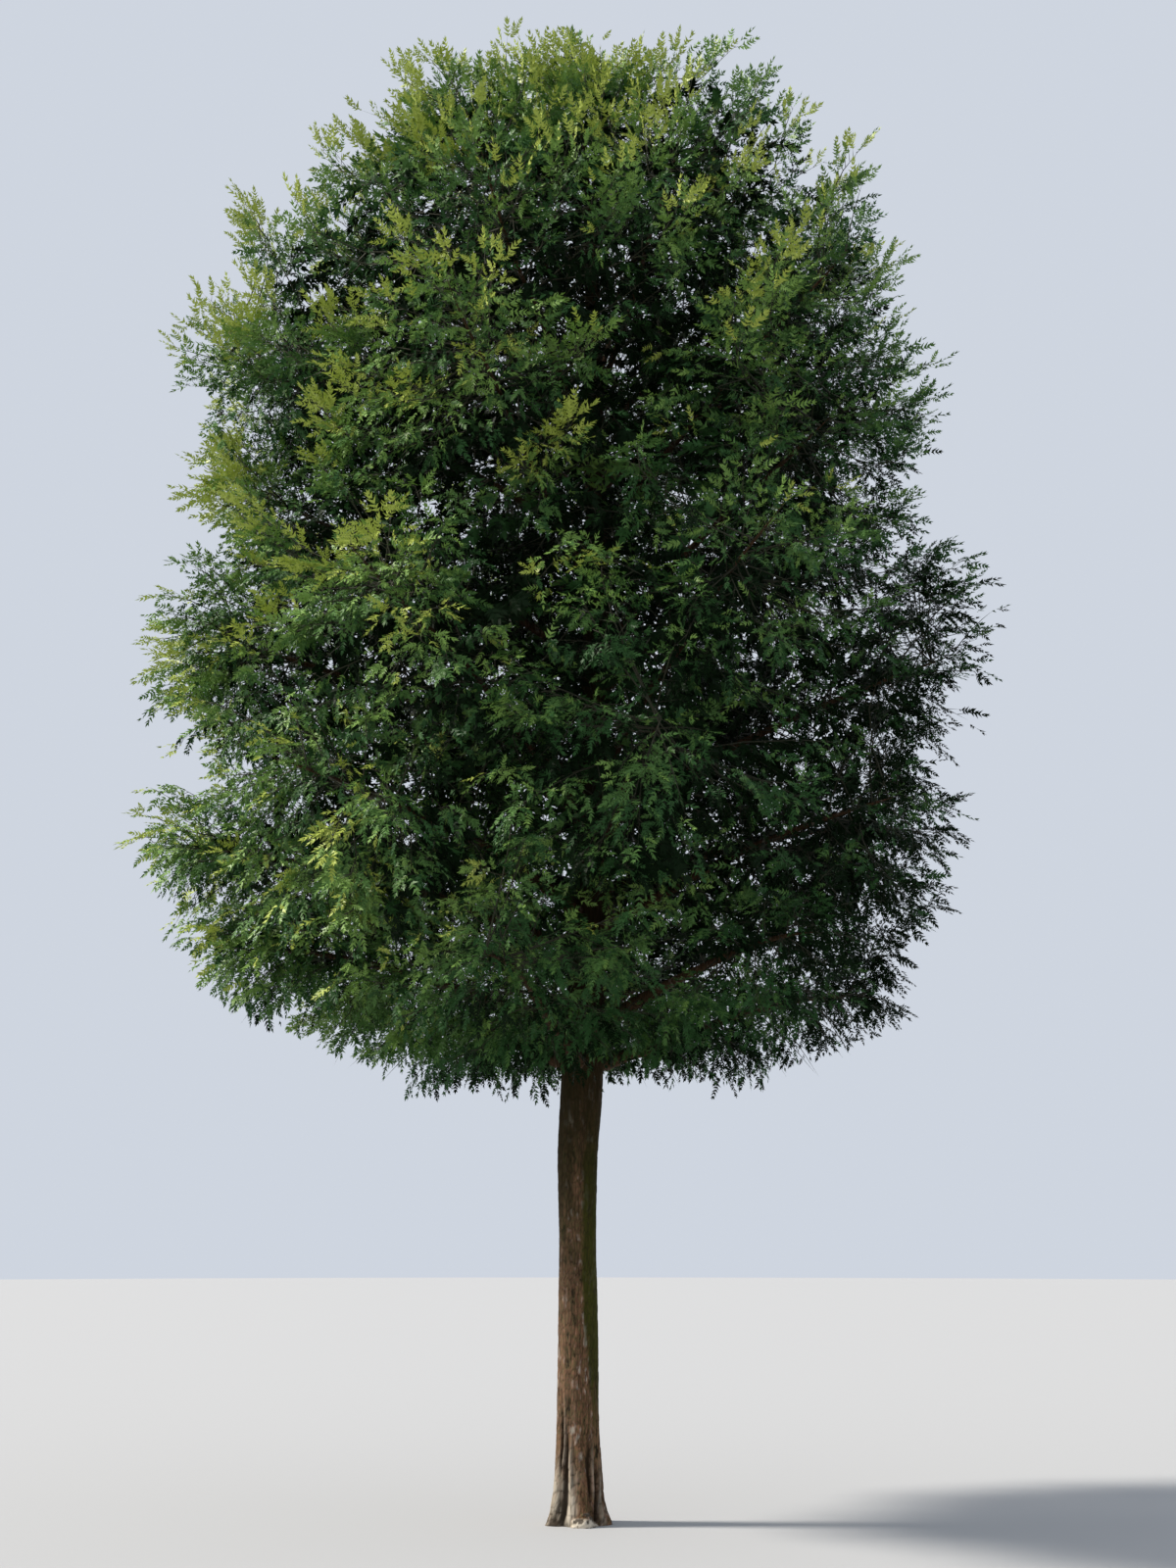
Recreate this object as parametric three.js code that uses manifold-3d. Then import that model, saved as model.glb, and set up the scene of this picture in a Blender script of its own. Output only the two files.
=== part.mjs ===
// A common yew grown as a standard: one clear trunk with a root flare, boughs in tiers round it,
// and a mass of needled twigs at the end of each bough and round the upper trunk.
// Millimetres, +Z up. The origin is the middle of the trunk's flat cut at ground level.
// +X is the side with the fuller top, -Y is the front, and azimuths turn from +X towards +Y.

import * as THREE from "three";
import { mergeVertices } from "three/addons/utils/BufferGeometryUtils.js";
import Module from "manifold-3d";

const wasm = await Module();
wasm.setup();

// The whole tree
const HEIGHT = 9000;
const CLEARANCE = 0.3;
const SEED = 41;

// The trunk: rows of height and radius, from the flared foot to the cut under the leader
const TRUNK_PROFILE = [
  [0, 172],
  [70, 152],
  [180, 136],
  [400, 122],
  [900, 112],
  [1700, 108],
  [2350, 122],
  [2900, 116],
  [3700, 102],
  [4700, 86],
  [5800, 66],
  [6900, 45],
  [7700, 28],
  [8200, 16],
];
const TRUNK_TOP = 8200;
const TRUNK_SIDES = 20;
const TRUNK_SWAY = 110;
const SWAY_FOOT = 2000;
const ROOT_LOBES = 5;
const LOBE_DEPTH = 0.16;
const LOBE_FADE = 260;
const LOBE_TURN = 0.5;

// The crown's outline: rows of height, reach to the left (-X) and reach to the right (+X)
const CROWN_PROFILE = [
  [2480, 1000, 1000],
  [2750, 1750, 1800],
  [3050, 2200, 2150],
  [3450, 2500, 2350],
  [3850, 2680, 2420],
  [4600, 2560, 2480],
  [5250, 2720, 2530],
  [5900, 2340, 2260],
  [6600, 2460, 2260],
  [7300, 2420, 2090],
  [7650, 2300, 2010],
  [8100, 1850, 1960],
  [8500, 1430, 1720],
  [8800, 1150, 1400],
  [HEIGHT, 620, 640],
];

// The domed top: rows of height and the share of that reach left to the front and to the back
const CROWN_DEPTH = [
  [7650, 1, 1],
  [8100, 0.8, 0.9],
  [8500, 0.5, 0.75],
  [8800, 0.24, 0.6],
  [HEIGHT, 0.2, 0.5],
];

// The tiers of limbs. Each limb leaves the trunk at root height and ends at tip height.
// Angles are in degrees above level, and turn is the azimuth of a tier's first limb.
const TIERS = [
  { name: "lowest", count: 6, turn: 12, root: 2700, tip: 3080, leave: 16, end: -16, bough: true },
  { name: "lower", count: 7, turn: 180, root: 3350, tip: 4000, leave: 26, end: 4, bough: true },
  { name: "broad", count: 6, turn: 0, root: 4100, tip: 5200, leave: 36, end: 20, bough: true },
  { name: "middle", count: 5, turn: 36, root: 4950, tip: 6280, leave: 42, end: 30, bough: false },
  { name: "upper", count: 5, turn: 180, root: 5750, tip: 7250, leave: 46, end: 38, bough: false },
  { name: "shoulder", count: 5, turn: 10, root: 6500, tip: 8150, leave: 52, end: 52, bough: false },
  { name: "top", count: 4, turn: 25, root: 7350, tip: 8780, leave: 62, end: 66, bough: false },
];
const ROOT_STAGGER = 420;
const TIP_STAGGER = 340;
const HEIGHT_SPREAD = 60;
const TURN_SPREAD = 6;
const TIP_REACH = 0.985;

// The leader, which goes on from the trunk's top to the tree's highest tip
const LEADER_RADIUS = 15;
const LEADER_RISE = 260;
const LEADER_BEND = [-200, -30];
const LEADER_TIP = [-320, -50];

// Limbs: a bough's radius is a share of the trunk's where it leaves it
const BOUGH_SIDES = 5;
const BOUGH_STEPS = 3;
const BOUGH_END = 0.44;
const BOUGH_SHARE = 0.34;
const BOUGH_TIP_SHARE = 0.58;
const COLLAR = 0.35;
const COLLAR_LENGTH = 0.12;
const STEM_SIDES = 3;
const STEM_STEPS = 3;
const STEM_TIP_RADIUS = 5;
const STEM_WOOD_END = 0.93;
const MASS_CENTRE = 0.73;

// The dense heart of a mass, round the stem, as shares of the stem's length. Its hollows and its
// tufts lie at these shares of that reach, give or take the rough share.
const CORE_ALONG = 0.22;
const CORE_WIDE = 0.135;
const CORE_DEEP = 0.1;
const CORE_HOLLOW = 0.84;
const CORE_TUFT = 1.5;
const CORE_ROUGH = 0.22;
const CORE_SIZES = [1, 0.85, 0.7, 0.55, 0.4];
const CORE_EDGE = 0.94;
const CORE_CREST = 0.7;
const LEADER_CREST = 0.45;
const PULL_STEP = 0.04;
const PULL_MOST = 0.2;

// Twigs, turned round the stem by the golden angle, from one share of its length to another
const GOLDEN_TURN = Math.PI * (3 - Math.sqrt(5));
const TWIG_COUNT = 6;
const LEADER_TWIGS = 7;
const TWIGS_END = 0.9;
const BOUGH_TWIGS_START = 0.47;
const TRUNK_TWIGS_START = 0.34;
const LEADER_TWIGS_START = 0.15;
const TWIG_RADIUS = 9;
const TWIG_MOST = 1000;
const TWIG_LEAST = 260;
const TWIG_LAP = 0.12;
const TWIG_SPREAD_IN = 74;
const TWIG_SPREAD_OUT = 42;
const REACH_STEP = 40;
const SPACE_MARGIN = 4;

// Sprays: one at each twig's end, one on its side, and one at the stem's end
const SPRAY_LENGTH = 760;
const SPRAY_WIDTH = 0.5;
const SPRAY_THICKNESS = 0.026;
const SPRAY_RIDGE = 0.42;
const SPRAY_LEAST = 240;
const SPRAY_SUNK = 0.07;
const SPRAY_SIZES = [1, 0.8, 0.62];
const END_SPRAY = 0.8;
const LEADER_SPRAY = 0.5;
const SIDE_SPRAY = 0.85;
const SIDE_PLACE = 0.3;
const SIDE_ANGLE = 52;

// Half of a spray's toothed outline, from its root to its tip, as shares of its length and width
const TOOTHED = [
  [0.0, 0.0],
  [0.52, 0.5],
  [0.6, 0.24],
  [1.0, 0.0],
];

const UP = new THREE.Vector3(0, 0, 1);
const RIGHT = new THREE.Vector3(1, 0, 0);
const radians = THREE.MathUtils.degToRad;
const mix = THREE.MathUtils.lerp;

// A stream of numbers from 0 to 1 that is the same in every run
function seeded(seed) {
  let state = Math.imul(seed, 2654435761) >>> 0;
  return () => {
    state = (Math.imul(state, 1664525) + 1013904223) >>> 0;
    return state / 4294967296;
  };
}

// The value in a column of a table at a place in its first column, on straight lines between rows
function tabled(table, place, column) {
  const above = table.findIndex((row) => row[0] >= place);
  if (above === 0) return table[0][column];
  if (above < 0) return table[table.length - 1][column];
  const low = table[above - 1];
  const high = table[above];
  return mix(low[column], high[column], (place - low[0]) / (high[0] - low[0]));
}

function trunkCentre(height) {
  const share = THREE.MathUtils.clamp((height - SWAY_FOOT) / (HEIGHT - SWAY_FOOT), 0, 1);
  const sway = TRUNK_SWAY * Math.sin(Math.PI * share);
  return new THREE.Vector3(sway, -sway * share, height);
}

function crownReach(height, azimuth) {
  const toRight = (1 + Math.cos(azimuth)) / 2;
  const reach = mix(tabled(CROWN_PROFILE, height, 1), tabled(CROWN_PROFILE, height, 2), toRight);
  const depth = tabled(CROWN_DEPTH, height, Math.sin(azimuth) < 0 ? 1 : 2);
  return reach * mix(1, depth, Math.sin(azimuth) ** 2);
}

function insideCrown(point) {
  if (point.z < CROWN_PROFILE[0][0] || point.z > HEIGHT) return false;
  return Math.hypot(point.x, point.y) <= crownReach(point.z, Math.atan2(point.y, point.x));
}

// The way from a heading towards another at right angles to it, by an angle in degrees
function leaned(heading, towards, angle) {
  const way = heading.clone().multiplyScalar(Math.cos(radians(angle)));
  return way.addScaledVector(towards, Math.sin(radians(angle))).normalize();
}

// A level direction square to a heading, with +X for a heading straight up
function levelSide(heading) {
  const side = new THREE.Vector3().crossVectors(heading, UP);
  return side.length() < 0.05 * heading.length() ? RIGHT.clone() : side.normalize();
}

// A geometry with its seams merged and nothing but positions
function seamless(geometry) {
  geometry.deleteAttribute("normal");
  geometry.deleteAttribute("uv");
  return mergeVertices(geometry);
}

function solidOf(geometry) {
  const merged = seamless(geometry);
  const mesh = new wasm.Mesh({
    numProp: 3,
    vertProperties: new Float32Array(merged.getAttribute("position").array),
    triVerts: new Uint32Array(merged.index.array),
  });
  return new wasm.Manifold(mesh);
}

function geometryOf(solid) {
  const mesh = solid.getMesh();
  const geometry = new THREE.BufferGeometry();
  geometry.setAttribute("position", new THREE.BufferAttribute(mesh.vertProperties, 3));
  geometry.setIndex(new THREE.BufferAttribute(mesh.triVerts, 1));
  geometry.computeVertexNormals();
  return geometry;
}

function overlaps(solid, others) {
  return others.some((other) => !solid.intersect(other).isEmpty());
}

// A cylinder bent along centreAt and tapered by radiusAt, which get the share of the way along it
function bentCylinder(centreAt, headingAt, radiusAt, sides, steps, pointed = false) {
  const shape = new THREE.CylinderGeometry(pointed ? 0 : 1, 1, 1, sides, steps);
  const position = shape.getAttribute("position");
  const level = levelSide(centreAt(1).sub(centreAt(0)));
  for (let i = 0; i < position.count; i++) {
    const share = position.getY(i) + 0.5;
    const spoke = new THREE.Vector3(position.getX(i), 0, position.getZ(i));
    const onAxis = spoke.length() < 0.001;
    const radius = onAxis ? 0 : radiusAt(share, Math.atan2(spoke.z, spoke.x));
    const heading = headingAt(share);
    const back = new THREE.Vector3().crossVectors(level, heading).normalize();
    const side = new THREE.Vector3().crossVectors(heading, back);
    spoke.normalize();
    const place = centreAt(share);
    place.addScaledVector(side, spoke.x * radius);
    place.addScaledVector(back, spoke.z * radius);
    position.setXYZ(i, place.x, place.y, place.z);
  }
  return solidOf(shape);
}

// The trunk, or with a swell the same trunk grown by that much, to cut what meets it
function trunkSolid(swell) {
  const heights = TRUNK_PROFILE.map((row) => row[0]);
  const steps = heights.length - 1;
  heights[0] = -swell;
  heights[steps] = TRUNK_TOP + swell;
  const heightAt = (share) => heights[Math.round(share * steps)];
  const swollen = swell / Math.cos(Math.PI / TRUNK_SIDES);
  const radiusAt = (share, turn) => {
    const height = heightAt(share);
    const fade = LOBE_DEPTH * Math.exp(-Math.max(0, height) / LOBE_FADE);
    const lobed = 1 + fade * Math.cos(ROOT_LOBES * turn + LOBE_TURN);
    return tabled(TRUNK_PROFILE, height, 1) * lobed + swollen;
  };
  const centreAt = (share) => trunkCentre(heightAt(share));
  return bentCylinder(centreAt, () => UP, radiusAt, TRUNK_SIDES, steps);
}

// One limb of a tier: its curve runs from the trunk's middle to its tip on the crown's outline
function makeLimb(tier, i, random) {
  const turned = tier.turn + (360 * i) / tier.count + TURN_SPREAD * (2 * random() - 1);
  const azimuth = radians(turned);
  const stagger = ((3 * i) % tier.count) / (tier.count - 1) - 0.5;
  const tipHeight = tier.tip + TIP_STAGGER * stagger + HEIGHT_SPREAD * (random() - 0.5);
  const rootHeight = tier.root + ROOT_STAGGER * stagger + HEIGHT_SPREAD * (random() - 0.5);
  const outward = new THREE.Vector3(Math.cos(azimuth), Math.sin(azimuth), 0);
  const root = trunkCentre(rootHeight);
  const tip = outward.clone().multiplyScalar(TIP_REACH * crownReach(tipHeight, azimuth));
  tip.z = tipHeight;
  const handle = root.distanceTo(tip) / 3;
  const curve = new THREE.CubicBezierCurve3(
    root,
    root.clone().addScaledVector(leaned(outward, UP, tier.leave), handle),
    tip.clone().addScaledVector(leaned(outward, UP, tier.end), -handle),
    tip,
  );
  const rootRadius = BOUGH_SHARE * tabled(TRUNK_PROFILE, rootHeight, 1);
  return { name: `${tier.name}_${i + 1}`, curve, rootRadius, bough: tier.bough, leader: false };
}

function makeLeader() {
  const foot = trunkCentre(TRUNK_TOP + CLEARANCE);
  const curve = new THREE.CubicBezierCurve3(
    foot,
    foot.clone().addScaledVector(UP, LEADER_RISE),
    new THREE.Vector3(...LEADER_BEND, HEIGHT - LEADER_RISE),
    new THREE.Vector3(...LEADER_TIP, HEIGHT),
  );
  return { name: "leader", curve, rootRadius: LEADER_RADIUS, bough: false, leader: true };
}

// Every limb, with its length, where its foliage begins, and the middle of its mass
function makeLimbs() {
  const random = seeded(SEED);
  const limbs = [];
  for (const tier of TIERS) {
    for (let i = 0; i < tier.count; i++) limbs.push(makeLimb(tier, i, random));
  }
  limbs.push(makeLeader());
  for (const limb of limbs) {
    limb.length = limb.curve.getLength();
    limb.begins = limb.bough ? BOUGH_END + CLEARANCE / limb.length : 0;
    limb.centre = limb.curve.getPointAt(limb.leader ? 0.5 : MASS_CENTRE);
  }
  return limbs;
}

function limbRadius(limb, share) {
  const tipRadius = limb.bough ? BOUGH_TIP_SHARE * limb.rootRadius : STEM_TIP_RADIUS;
  const end = limb.bough ? BOUGH_END : STEM_WOOD_END;
  const collar = limb.leader ? 0 : COLLAR * Math.exp(-share / COLLAR_LENGTH);
  return mix(limb.rootRadius, tipRadius, Math.min(1, share / end)) * (1 + collar);
}

// A bough, from inside the trunk, which is cut away from it, to where its mass begins
function boughSolid(limb, trunkSwollen) {
  const centreAt = (share) => limb.curve.getPointAt(share * BOUGH_END);
  const headingAt = (share) => limb.curve.getTangentAt(share * BOUGH_END);
  const radiusAt = (share) => limbRadius(limb, share * BOUGH_END);
  const bough = bentCylinder(centreAt, headingAt, radiusAt, BOUGH_SIDES, BOUGH_STEPS);
  return bough.subtract(trunkSwollen);
}

// The stem of a mass, which goes on from its bough or starts in the trunk and is cut away from it
function stemSolid(limb, trunkSwollen) {
  const at = (share) => mix(limb.begins, STEM_WOOD_END, share);
  const centreAt = (share) => limb.curve.getPointAt(at(share));
  const headingAt = (share) => limb.curve.getTangentAt(at(share));
  const startRadius = limbRadius(limb, limb.begins);
  const radiusAt = (share) => {
    if (limb.bough) return mix(startRadius, STEM_TIP_RADIUS, share);
    return limbRadius(limb, at(share));
  };
  const stem = bentCylinder(centreAt, headingAt, radiusAt, STEM_SIDES, STEM_STEPS);
  return limb.bough || limb.leader ? stem : stem.subtract(trunkSwollen);
}

// The test of a mass's space: nearer its own middle than any other mass's, by a margin
function makeSpace(limb, limbs) {
  const planes = limbs
    .filter((other) => other !== limb)
    .map((other) => {
      const away = other.centre.clone().sub(limb.centre).normalize();
      const middle = other.centre.clone().add(limb.centre).multiplyScalar(0.5);
      return { away, edge: middle.dot(away) - SPACE_MARGIN };
    });
  return (point) => planes.every((plane) => point.dot(plane.away) < plane.edge);
}

// The heart of a mass: a ball drawn out along the stem, each of whose faces is raised to a tuft
function coreSolid(limb, fits, size, random) {
  const crest = limb.leader ? LEADER_CREST : CORE_CREST;
  const centre = limb.curve.getPointAt(crest);
  const heading = limb.curve.getTangentAt(crest);
  const level = levelSide(heading);
  const turn = new THREE.Matrix4().makeBasis(level, heading.clone().cross(level), heading);
  const reach = new THREE.Vector3(CORE_WIDE, CORE_DEEP, CORE_ALONG);
  reach.multiplyScalar(limb.length * size);

  const placed = (direction, share) => {
    const rough = share * (1 + CORE_ROUGH * (2 * random() - 1));
    const spoke = direction.clone().normalize().multiply(reach).multiplyScalar(rough);
    spoke.applyMatrix4(turn);
    const along = (pulled) => centre.clone().addScaledVector(spoke, pulled);
    let pulled = 1;
    while (pulled > PULL_MOST && !fits(along(pulled / CORE_EDGE))) pulled -= PULL_STEP;
    return along(pulled);
  };

  const ball = seamless(new THREE.IcosahedronGeometry(1, 0));
  const position = ball.getAttribute("position");
  const corners = [];
  for (let i = 0; i < position.count; i++) {
    corners.push(new THREE.Vector3().fromBufferAttribute(position, i));
  }
  const places = corners.map((corner) => placed(corner, CORE_HOLLOW));
  const triangles = [];
  for (let i = 0; i < ball.index.count; i += 3) {
    const [a, b, c] = [0, 1, 2].map((k) => ball.index.getX(i + k));
    const middle = corners[a].clone().add(corners[b]).add(corners[c]);
    const tuft = places.push(placed(middle, CORE_TUFT)) - 1;
    triangles.push(a, b, tuft, b, c, tuft, c, a, tuft);
  }
  const core = new THREE.BufferGeometry().setFromPoints(places);
  core.setIndex(triangles);
  return solidOf(core);
}

// A straight pointed twig
function twigSolid(from, to) {
  const heading = to.clone().sub(from).normalize();
  const centreAt = (share) => from.clone().lerp(to, share);
  return bentCylinder(centreAt, () => heading, (share) => TWIG_RADIUS * (1 - share), 3, 1, true);
}

// The corners of a spray: its toothed outline, then its two ridge points
function sprayCorners(place, heading, length, roll) {
  const root = place.clone().addScaledVector(heading, -SPRAY_SUNK * length);
  const side = levelSide(heading).applyAxisAngle(heading, roll);
  const normal = new THREE.Vector3().crossVectors(side, heading);
  const point = (along, across, thick) => {
    const corner = root.clone().addScaledVector(heading, along * length);
    corner.addScaledVector(side, across * length * SPRAY_WIDTH);
    return corner.addScaledVector(normal, thick * length);
  };
  const teeth = TOOTHED.slice(1, -1);
  const mirrored = teeth.map(([along, across]) => [along, -across]).reverse();
  const outline = [TOOTHED[0], ...teeth, TOOTHED[TOOTHED.length - 1], ...mirrored];
  return {
    outline: outline.map(([along, across]) => point(along, across, 0)),
    front: point(SPRAY_RIDGE, 0, SPRAY_THICKNESS / 2),
    back: point(SPRAY_RIDGE, 0, -SPRAY_THICKNESS / 2),
  };
}

// A toothed blade: a flattened ball whose equator is drawn out to the toothed outline
function spraySolid({ outline, front, back }) {
  const count = outline.length;
  const shape = new THREE.SphereGeometry(1, count, 2);
  const position = shape.getAttribute("position");
  for (let i = 0; i < position.count; i++) {
    const row = Math.floor(i / (count + 1));
    const corner = [front, outline[(i % (count + 1)) % count], back][row];
    position.setXYZ(i, corner.x, corner.y, corner.z);
  }
  return solidOf(shape);
}

// One mass: its stem, its heart, and twigs turned round the stem that carry sprays
function growMass(limb, limbs, index, hard, stems) {
  const random = seeded(SEED + 100 * (index + 1));
  const inSpace = makeSpace(limb, limbs);
  const fits = (point) => inSpace(point) && insideCrown(point);
  const obstacles = [hard, ...stems.filter((_, other) => other !== index)];
  const pieces = [stems[index]];
  const sprays = [];

  const cores = CORE_SIZES.map((size) => coreSolid(limb, fits, size, seeded(SEED + index)));
  const core = cores.find((solid) => !overlaps(solid, obstacles));
  if (core) pieces.push(core);

  const roomAhead = (from, heading) => {
    let room = 0;
    const ahead = () => from.clone().addScaledVector(heading, room + REACH_STEP);
    while (room < TWIG_MOST && fits(ahead())) room += REACH_STEP;
    return room;
  };

  const addSpray = (place, heading, length, roll, test) => {
    for (const size of SPRAY_SIZES) {
      if (size * length < SPRAY_LEAST) return;
      const corners = sprayCorners(place, heading, size * length, roll);
      if (!corners.outline.slice(1).every(test)) continue;
      const solid = spraySolid(corners);
      if (overlaps(solid, obstacles) || overlaps(solid, sprays)) continue;
      sprays.push(solid);
      return;
    }
  };

  const endHeading = limb.curve.getTangentAt(1);
  const endLength = (limb.leader ? LEADER_SPRAY : END_SPRAY) * SPRAY_LENGTH;
  const endPlace = limb.curve.getPointAt(1);
  endPlace.addScaledVector(endHeading, -endLength * (1 - SPRAY_SUNK));
  addSpray(endPlace, endHeading, endLength, 0.5 * (random() - 0.5), inSpace);

  const count = limb.leader ? LEADER_TWIGS : TWIG_COUNT;
  const trunkStart = limb.leader ? LEADER_TWIGS_START : TRUNK_TWIGS_START;
  const start = limb.bough ? BOUGH_TWIGS_START : trunkStart;
  const phase = 2 * Math.PI * random();
  for (let k = 0; k < count; k++) {
    const share = (k + 0.5) / count;
    const place = limb.curve.getPointAt(mix(start, TWIGS_END, share));
    const along = limb.curve.getTangentAt(mix(start, TWIGS_END, share));
    const around = levelSide(along).applyAxisAngle(along, phase + k * GOLDEN_TURN);
    const heading = leaned(along, around, mix(TWIG_SPREAD_IN, TWIG_SPREAD_OUT, share));
    const reach = roomAhead(place, heading) * mix(0.9, 1, random());
    const roll = Math.PI * (random() - 0.5);
    const sideRoll = Math.PI * (random() - 0.5);
    if (reach < TWIG_LEAST || !inSpace(place)) continue;
    const length = Math.min(SPRAY_LENGTH, 0.8 * reach);
    const fork = place.clone().addScaledVector(heading, reach - length * (1 - SPRAY_SUNK));
    const woodEnd = place.clone().addScaledVector(heading, reach - length * (1 - TWIG_LAP));
    const twig = twigSolid(place, woodEnd);
    if (overlaps(twig, obstacles)) continue;
    pieces.push(twig);
    addSpray(fork, heading, length, roll, fits);
    const side = levelSide(heading).applyAxisAngle(heading, sideRoll);
    const sideways = leaned(heading, side, k % 2 ? SIDE_ANGLE : -SIDE_ANGLE);
    const sidePlace = place.clone().addScaledVector(heading, SIDE_PLACE * reach);
    const sideLength = Math.min(SIDE_SPRAY * SPRAY_LENGTH, roomAhead(sidePlace, sideways));
    addSpray(sidePlace, sideways, sideLength, sideRoll, fits);
  }
  const fused = wasm.Manifold.union([...pieces, ...sprays]);
  const bodies = fused.decompose().sort((a, b) => b.volume() - a.volume());
  return bodies[0].simplify(0.01);
}

const BARK = new THREE.MeshStandardMaterial({ color: 0x6b4a3c, roughness: 0.9 });
const BOUGH_BARK = new THREE.MeshStandardMaterial({ color: 0x54392d, roughness: 0.9 });
const NEEDLES = new THREE.MeshStandardMaterial({ color: 0x35502a, roughness: 0.6 });

const tree = new THREE.Group();

function addNode(name, solid, material) {
  const mesh = new THREE.Mesh(geometryOf(solid), material);
  mesh.name = name;
  tree.add(mesh);
}

const trunkSwollen = trunkSolid(CLEARANCE);
const limbs = makeLimbs();
const boughed = limbs.filter((limb) => limb.bough);
const boughs = boughed.map((limb) => boughSolid(limb, trunkSwollen));
const stems = limbs.map((limb) => stemSolid(limb, trunkSwollen));
const hard = wasm.Manifold.union([trunkSwollen, ...boughs]);

addNode("trunk", trunkSolid(0), BARK);
boughed.forEach((limb, i) => addNode(`bough_${limb.name}`, boughs[i], BOUGH_BARK));
limbs.forEach((limb, i) => {
  addNode(`foliage_${limb.name}`, growMass(limb, limbs, i, hard, stems), NEEDLES);
});

export default tree;
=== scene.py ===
"""A common yew grown as a standard: its bark, boughs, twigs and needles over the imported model.

Metres, +Z up. The origin is the middle of the trunk's flat cut at ground level, +X is to the
right in the picture and -Y is towards the camera.
"""

import functools
import math

import bmesh
import bpy
import numpy as np
from bpy.props import FloatProperty, FloatVectorProperty, IntProperty, PointerProperty
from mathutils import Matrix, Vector


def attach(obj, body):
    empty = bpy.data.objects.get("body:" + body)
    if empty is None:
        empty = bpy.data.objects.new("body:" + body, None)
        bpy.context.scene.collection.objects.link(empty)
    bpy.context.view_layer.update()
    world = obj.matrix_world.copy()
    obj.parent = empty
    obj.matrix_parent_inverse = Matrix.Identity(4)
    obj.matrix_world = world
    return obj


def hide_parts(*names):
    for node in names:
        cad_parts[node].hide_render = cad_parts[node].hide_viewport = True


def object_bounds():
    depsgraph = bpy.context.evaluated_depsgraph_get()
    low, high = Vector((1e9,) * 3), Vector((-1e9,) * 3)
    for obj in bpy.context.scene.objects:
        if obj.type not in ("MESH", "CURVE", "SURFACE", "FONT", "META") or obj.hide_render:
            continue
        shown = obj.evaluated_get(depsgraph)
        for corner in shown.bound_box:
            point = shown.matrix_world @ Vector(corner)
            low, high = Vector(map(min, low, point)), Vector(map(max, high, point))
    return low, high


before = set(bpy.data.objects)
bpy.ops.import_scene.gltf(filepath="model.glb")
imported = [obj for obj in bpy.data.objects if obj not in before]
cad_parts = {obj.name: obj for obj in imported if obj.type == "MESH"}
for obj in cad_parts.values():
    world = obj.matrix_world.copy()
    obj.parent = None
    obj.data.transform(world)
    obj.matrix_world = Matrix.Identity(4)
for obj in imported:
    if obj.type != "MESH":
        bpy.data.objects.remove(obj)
CAD_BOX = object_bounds()

bl_info = {
    "name": "Standard yew tree",
    "version": (1, 0, 0),
    "blender": (4, 5, 0),
    "location": "View3D > Sidebar > Yew",
    "description": "Builds a yew's bark, boughs, twigs and needles over its packed model",
    "category": "Add Mesh",
}


def linear(code):
    """The linear colour of an sRGB hex value, with an alpha of 1."""
    shares = [int(code[i : i + 2], 16) / 255 for i in (0, 2, 4)]
    return (*(s / 12.92 if s <= 0.04045 else ((s + 0.055) / 1.055) ** 2.4 for s in shares), 1.0)


# The whole tree, as in the part's source
HEIGHT = 9.0
UP = np.array([0.0, 0.0, 1.0])
CLEARANCE = 0.0003
SEED = 41

# The trunk: rows of height and radius
TRUNK_PROFILE = np.array(
    [
        (0.00, 0.172),
        (0.07, 0.152),
        (0.18, 0.136),
        (0.40, 0.122),
        (0.90, 0.112),
        (1.70, 0.108),
        (2.35, 0.122),
        (2.90, 0.116),
        (3.70, 0.102),
        (4.70, 0.086),
        (5.80, 0.066),
        (6.90, 0.045),
        (7.70, 0.028),
        (8.20, 0.016),
    ]
)
TRUNK_TOP = TRUNK_PROFILE[-1, 0]
TWIG_COLOUR = "2C2D1C"
# The girth that the scales of bark are counted round, the height up to which the bark shows, and
# the share of the trunk's rows of points below it
GIRTH = 0.70
SHOWN_BARK = 2.75
SHOWN_ROWS = 0.74
# Slits at the trunk's foot, painted dark as their shade: their turn to the right of the front, half
# width, foot and top
SLITS = [
    (-0.52, 0.10, 0.02, 0.52),
    (0.45, 0.08, 0.16, 0.46),
    (-0.80, 0.06, 0.30, 0.70),
    (0.86, 0.10, 0.00, 0.36),
]
TRUNK_SWAY = 0.11
SWAY_FOOT = 2.0
ROOT_LOBES = 5
LOBE_DEPTH = 0.16
LOBE_FADE = 0.26
LOBE_TURN = 0.5

# The crown's outline: rows of height, reach to the left (-X) and reach to the right (+X)
CROWN_PROFILE = np.array(
    [
        (2.48, 1.00, 1.00),
        (2.75, 1.75, 1.80),
        (3.05, 2.20, 2.15),
        (3.45, 2.50, 2.35),
        (3.85, 2.68, 2.42),
        (4.60, 2.56, 2.48),
        (5.25, 2.72, 2.53),
        (5.90, 2.34, 2.26),
        (6.60, 2.46, 2.26),
        (7.30, 2.42, 2.09),
        (7.65, 2.30, 2.01),
        (8.10, 1.85, 1.96),
        (8.50, 1.43, 1.72),
        (8.80, 1.15, 1.40),
        (9.00, 0.62, 0.64),
    ]
)
CROWN_FOOT = CROWN_PROFILE[0, 0]

# The domed top: rows of height and the share of that reach left to the front and to the back
CROWN_DEPTH = np.array(
    [
        (7.65, 1.00, 1.00),
        (8.10, 0.80, 0.90),
        (8.50, 0.50, 0.75),
        (8.80, 0.24, 0.60),
        (9.00, 0.20, 0.50),
    ]
)

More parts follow.
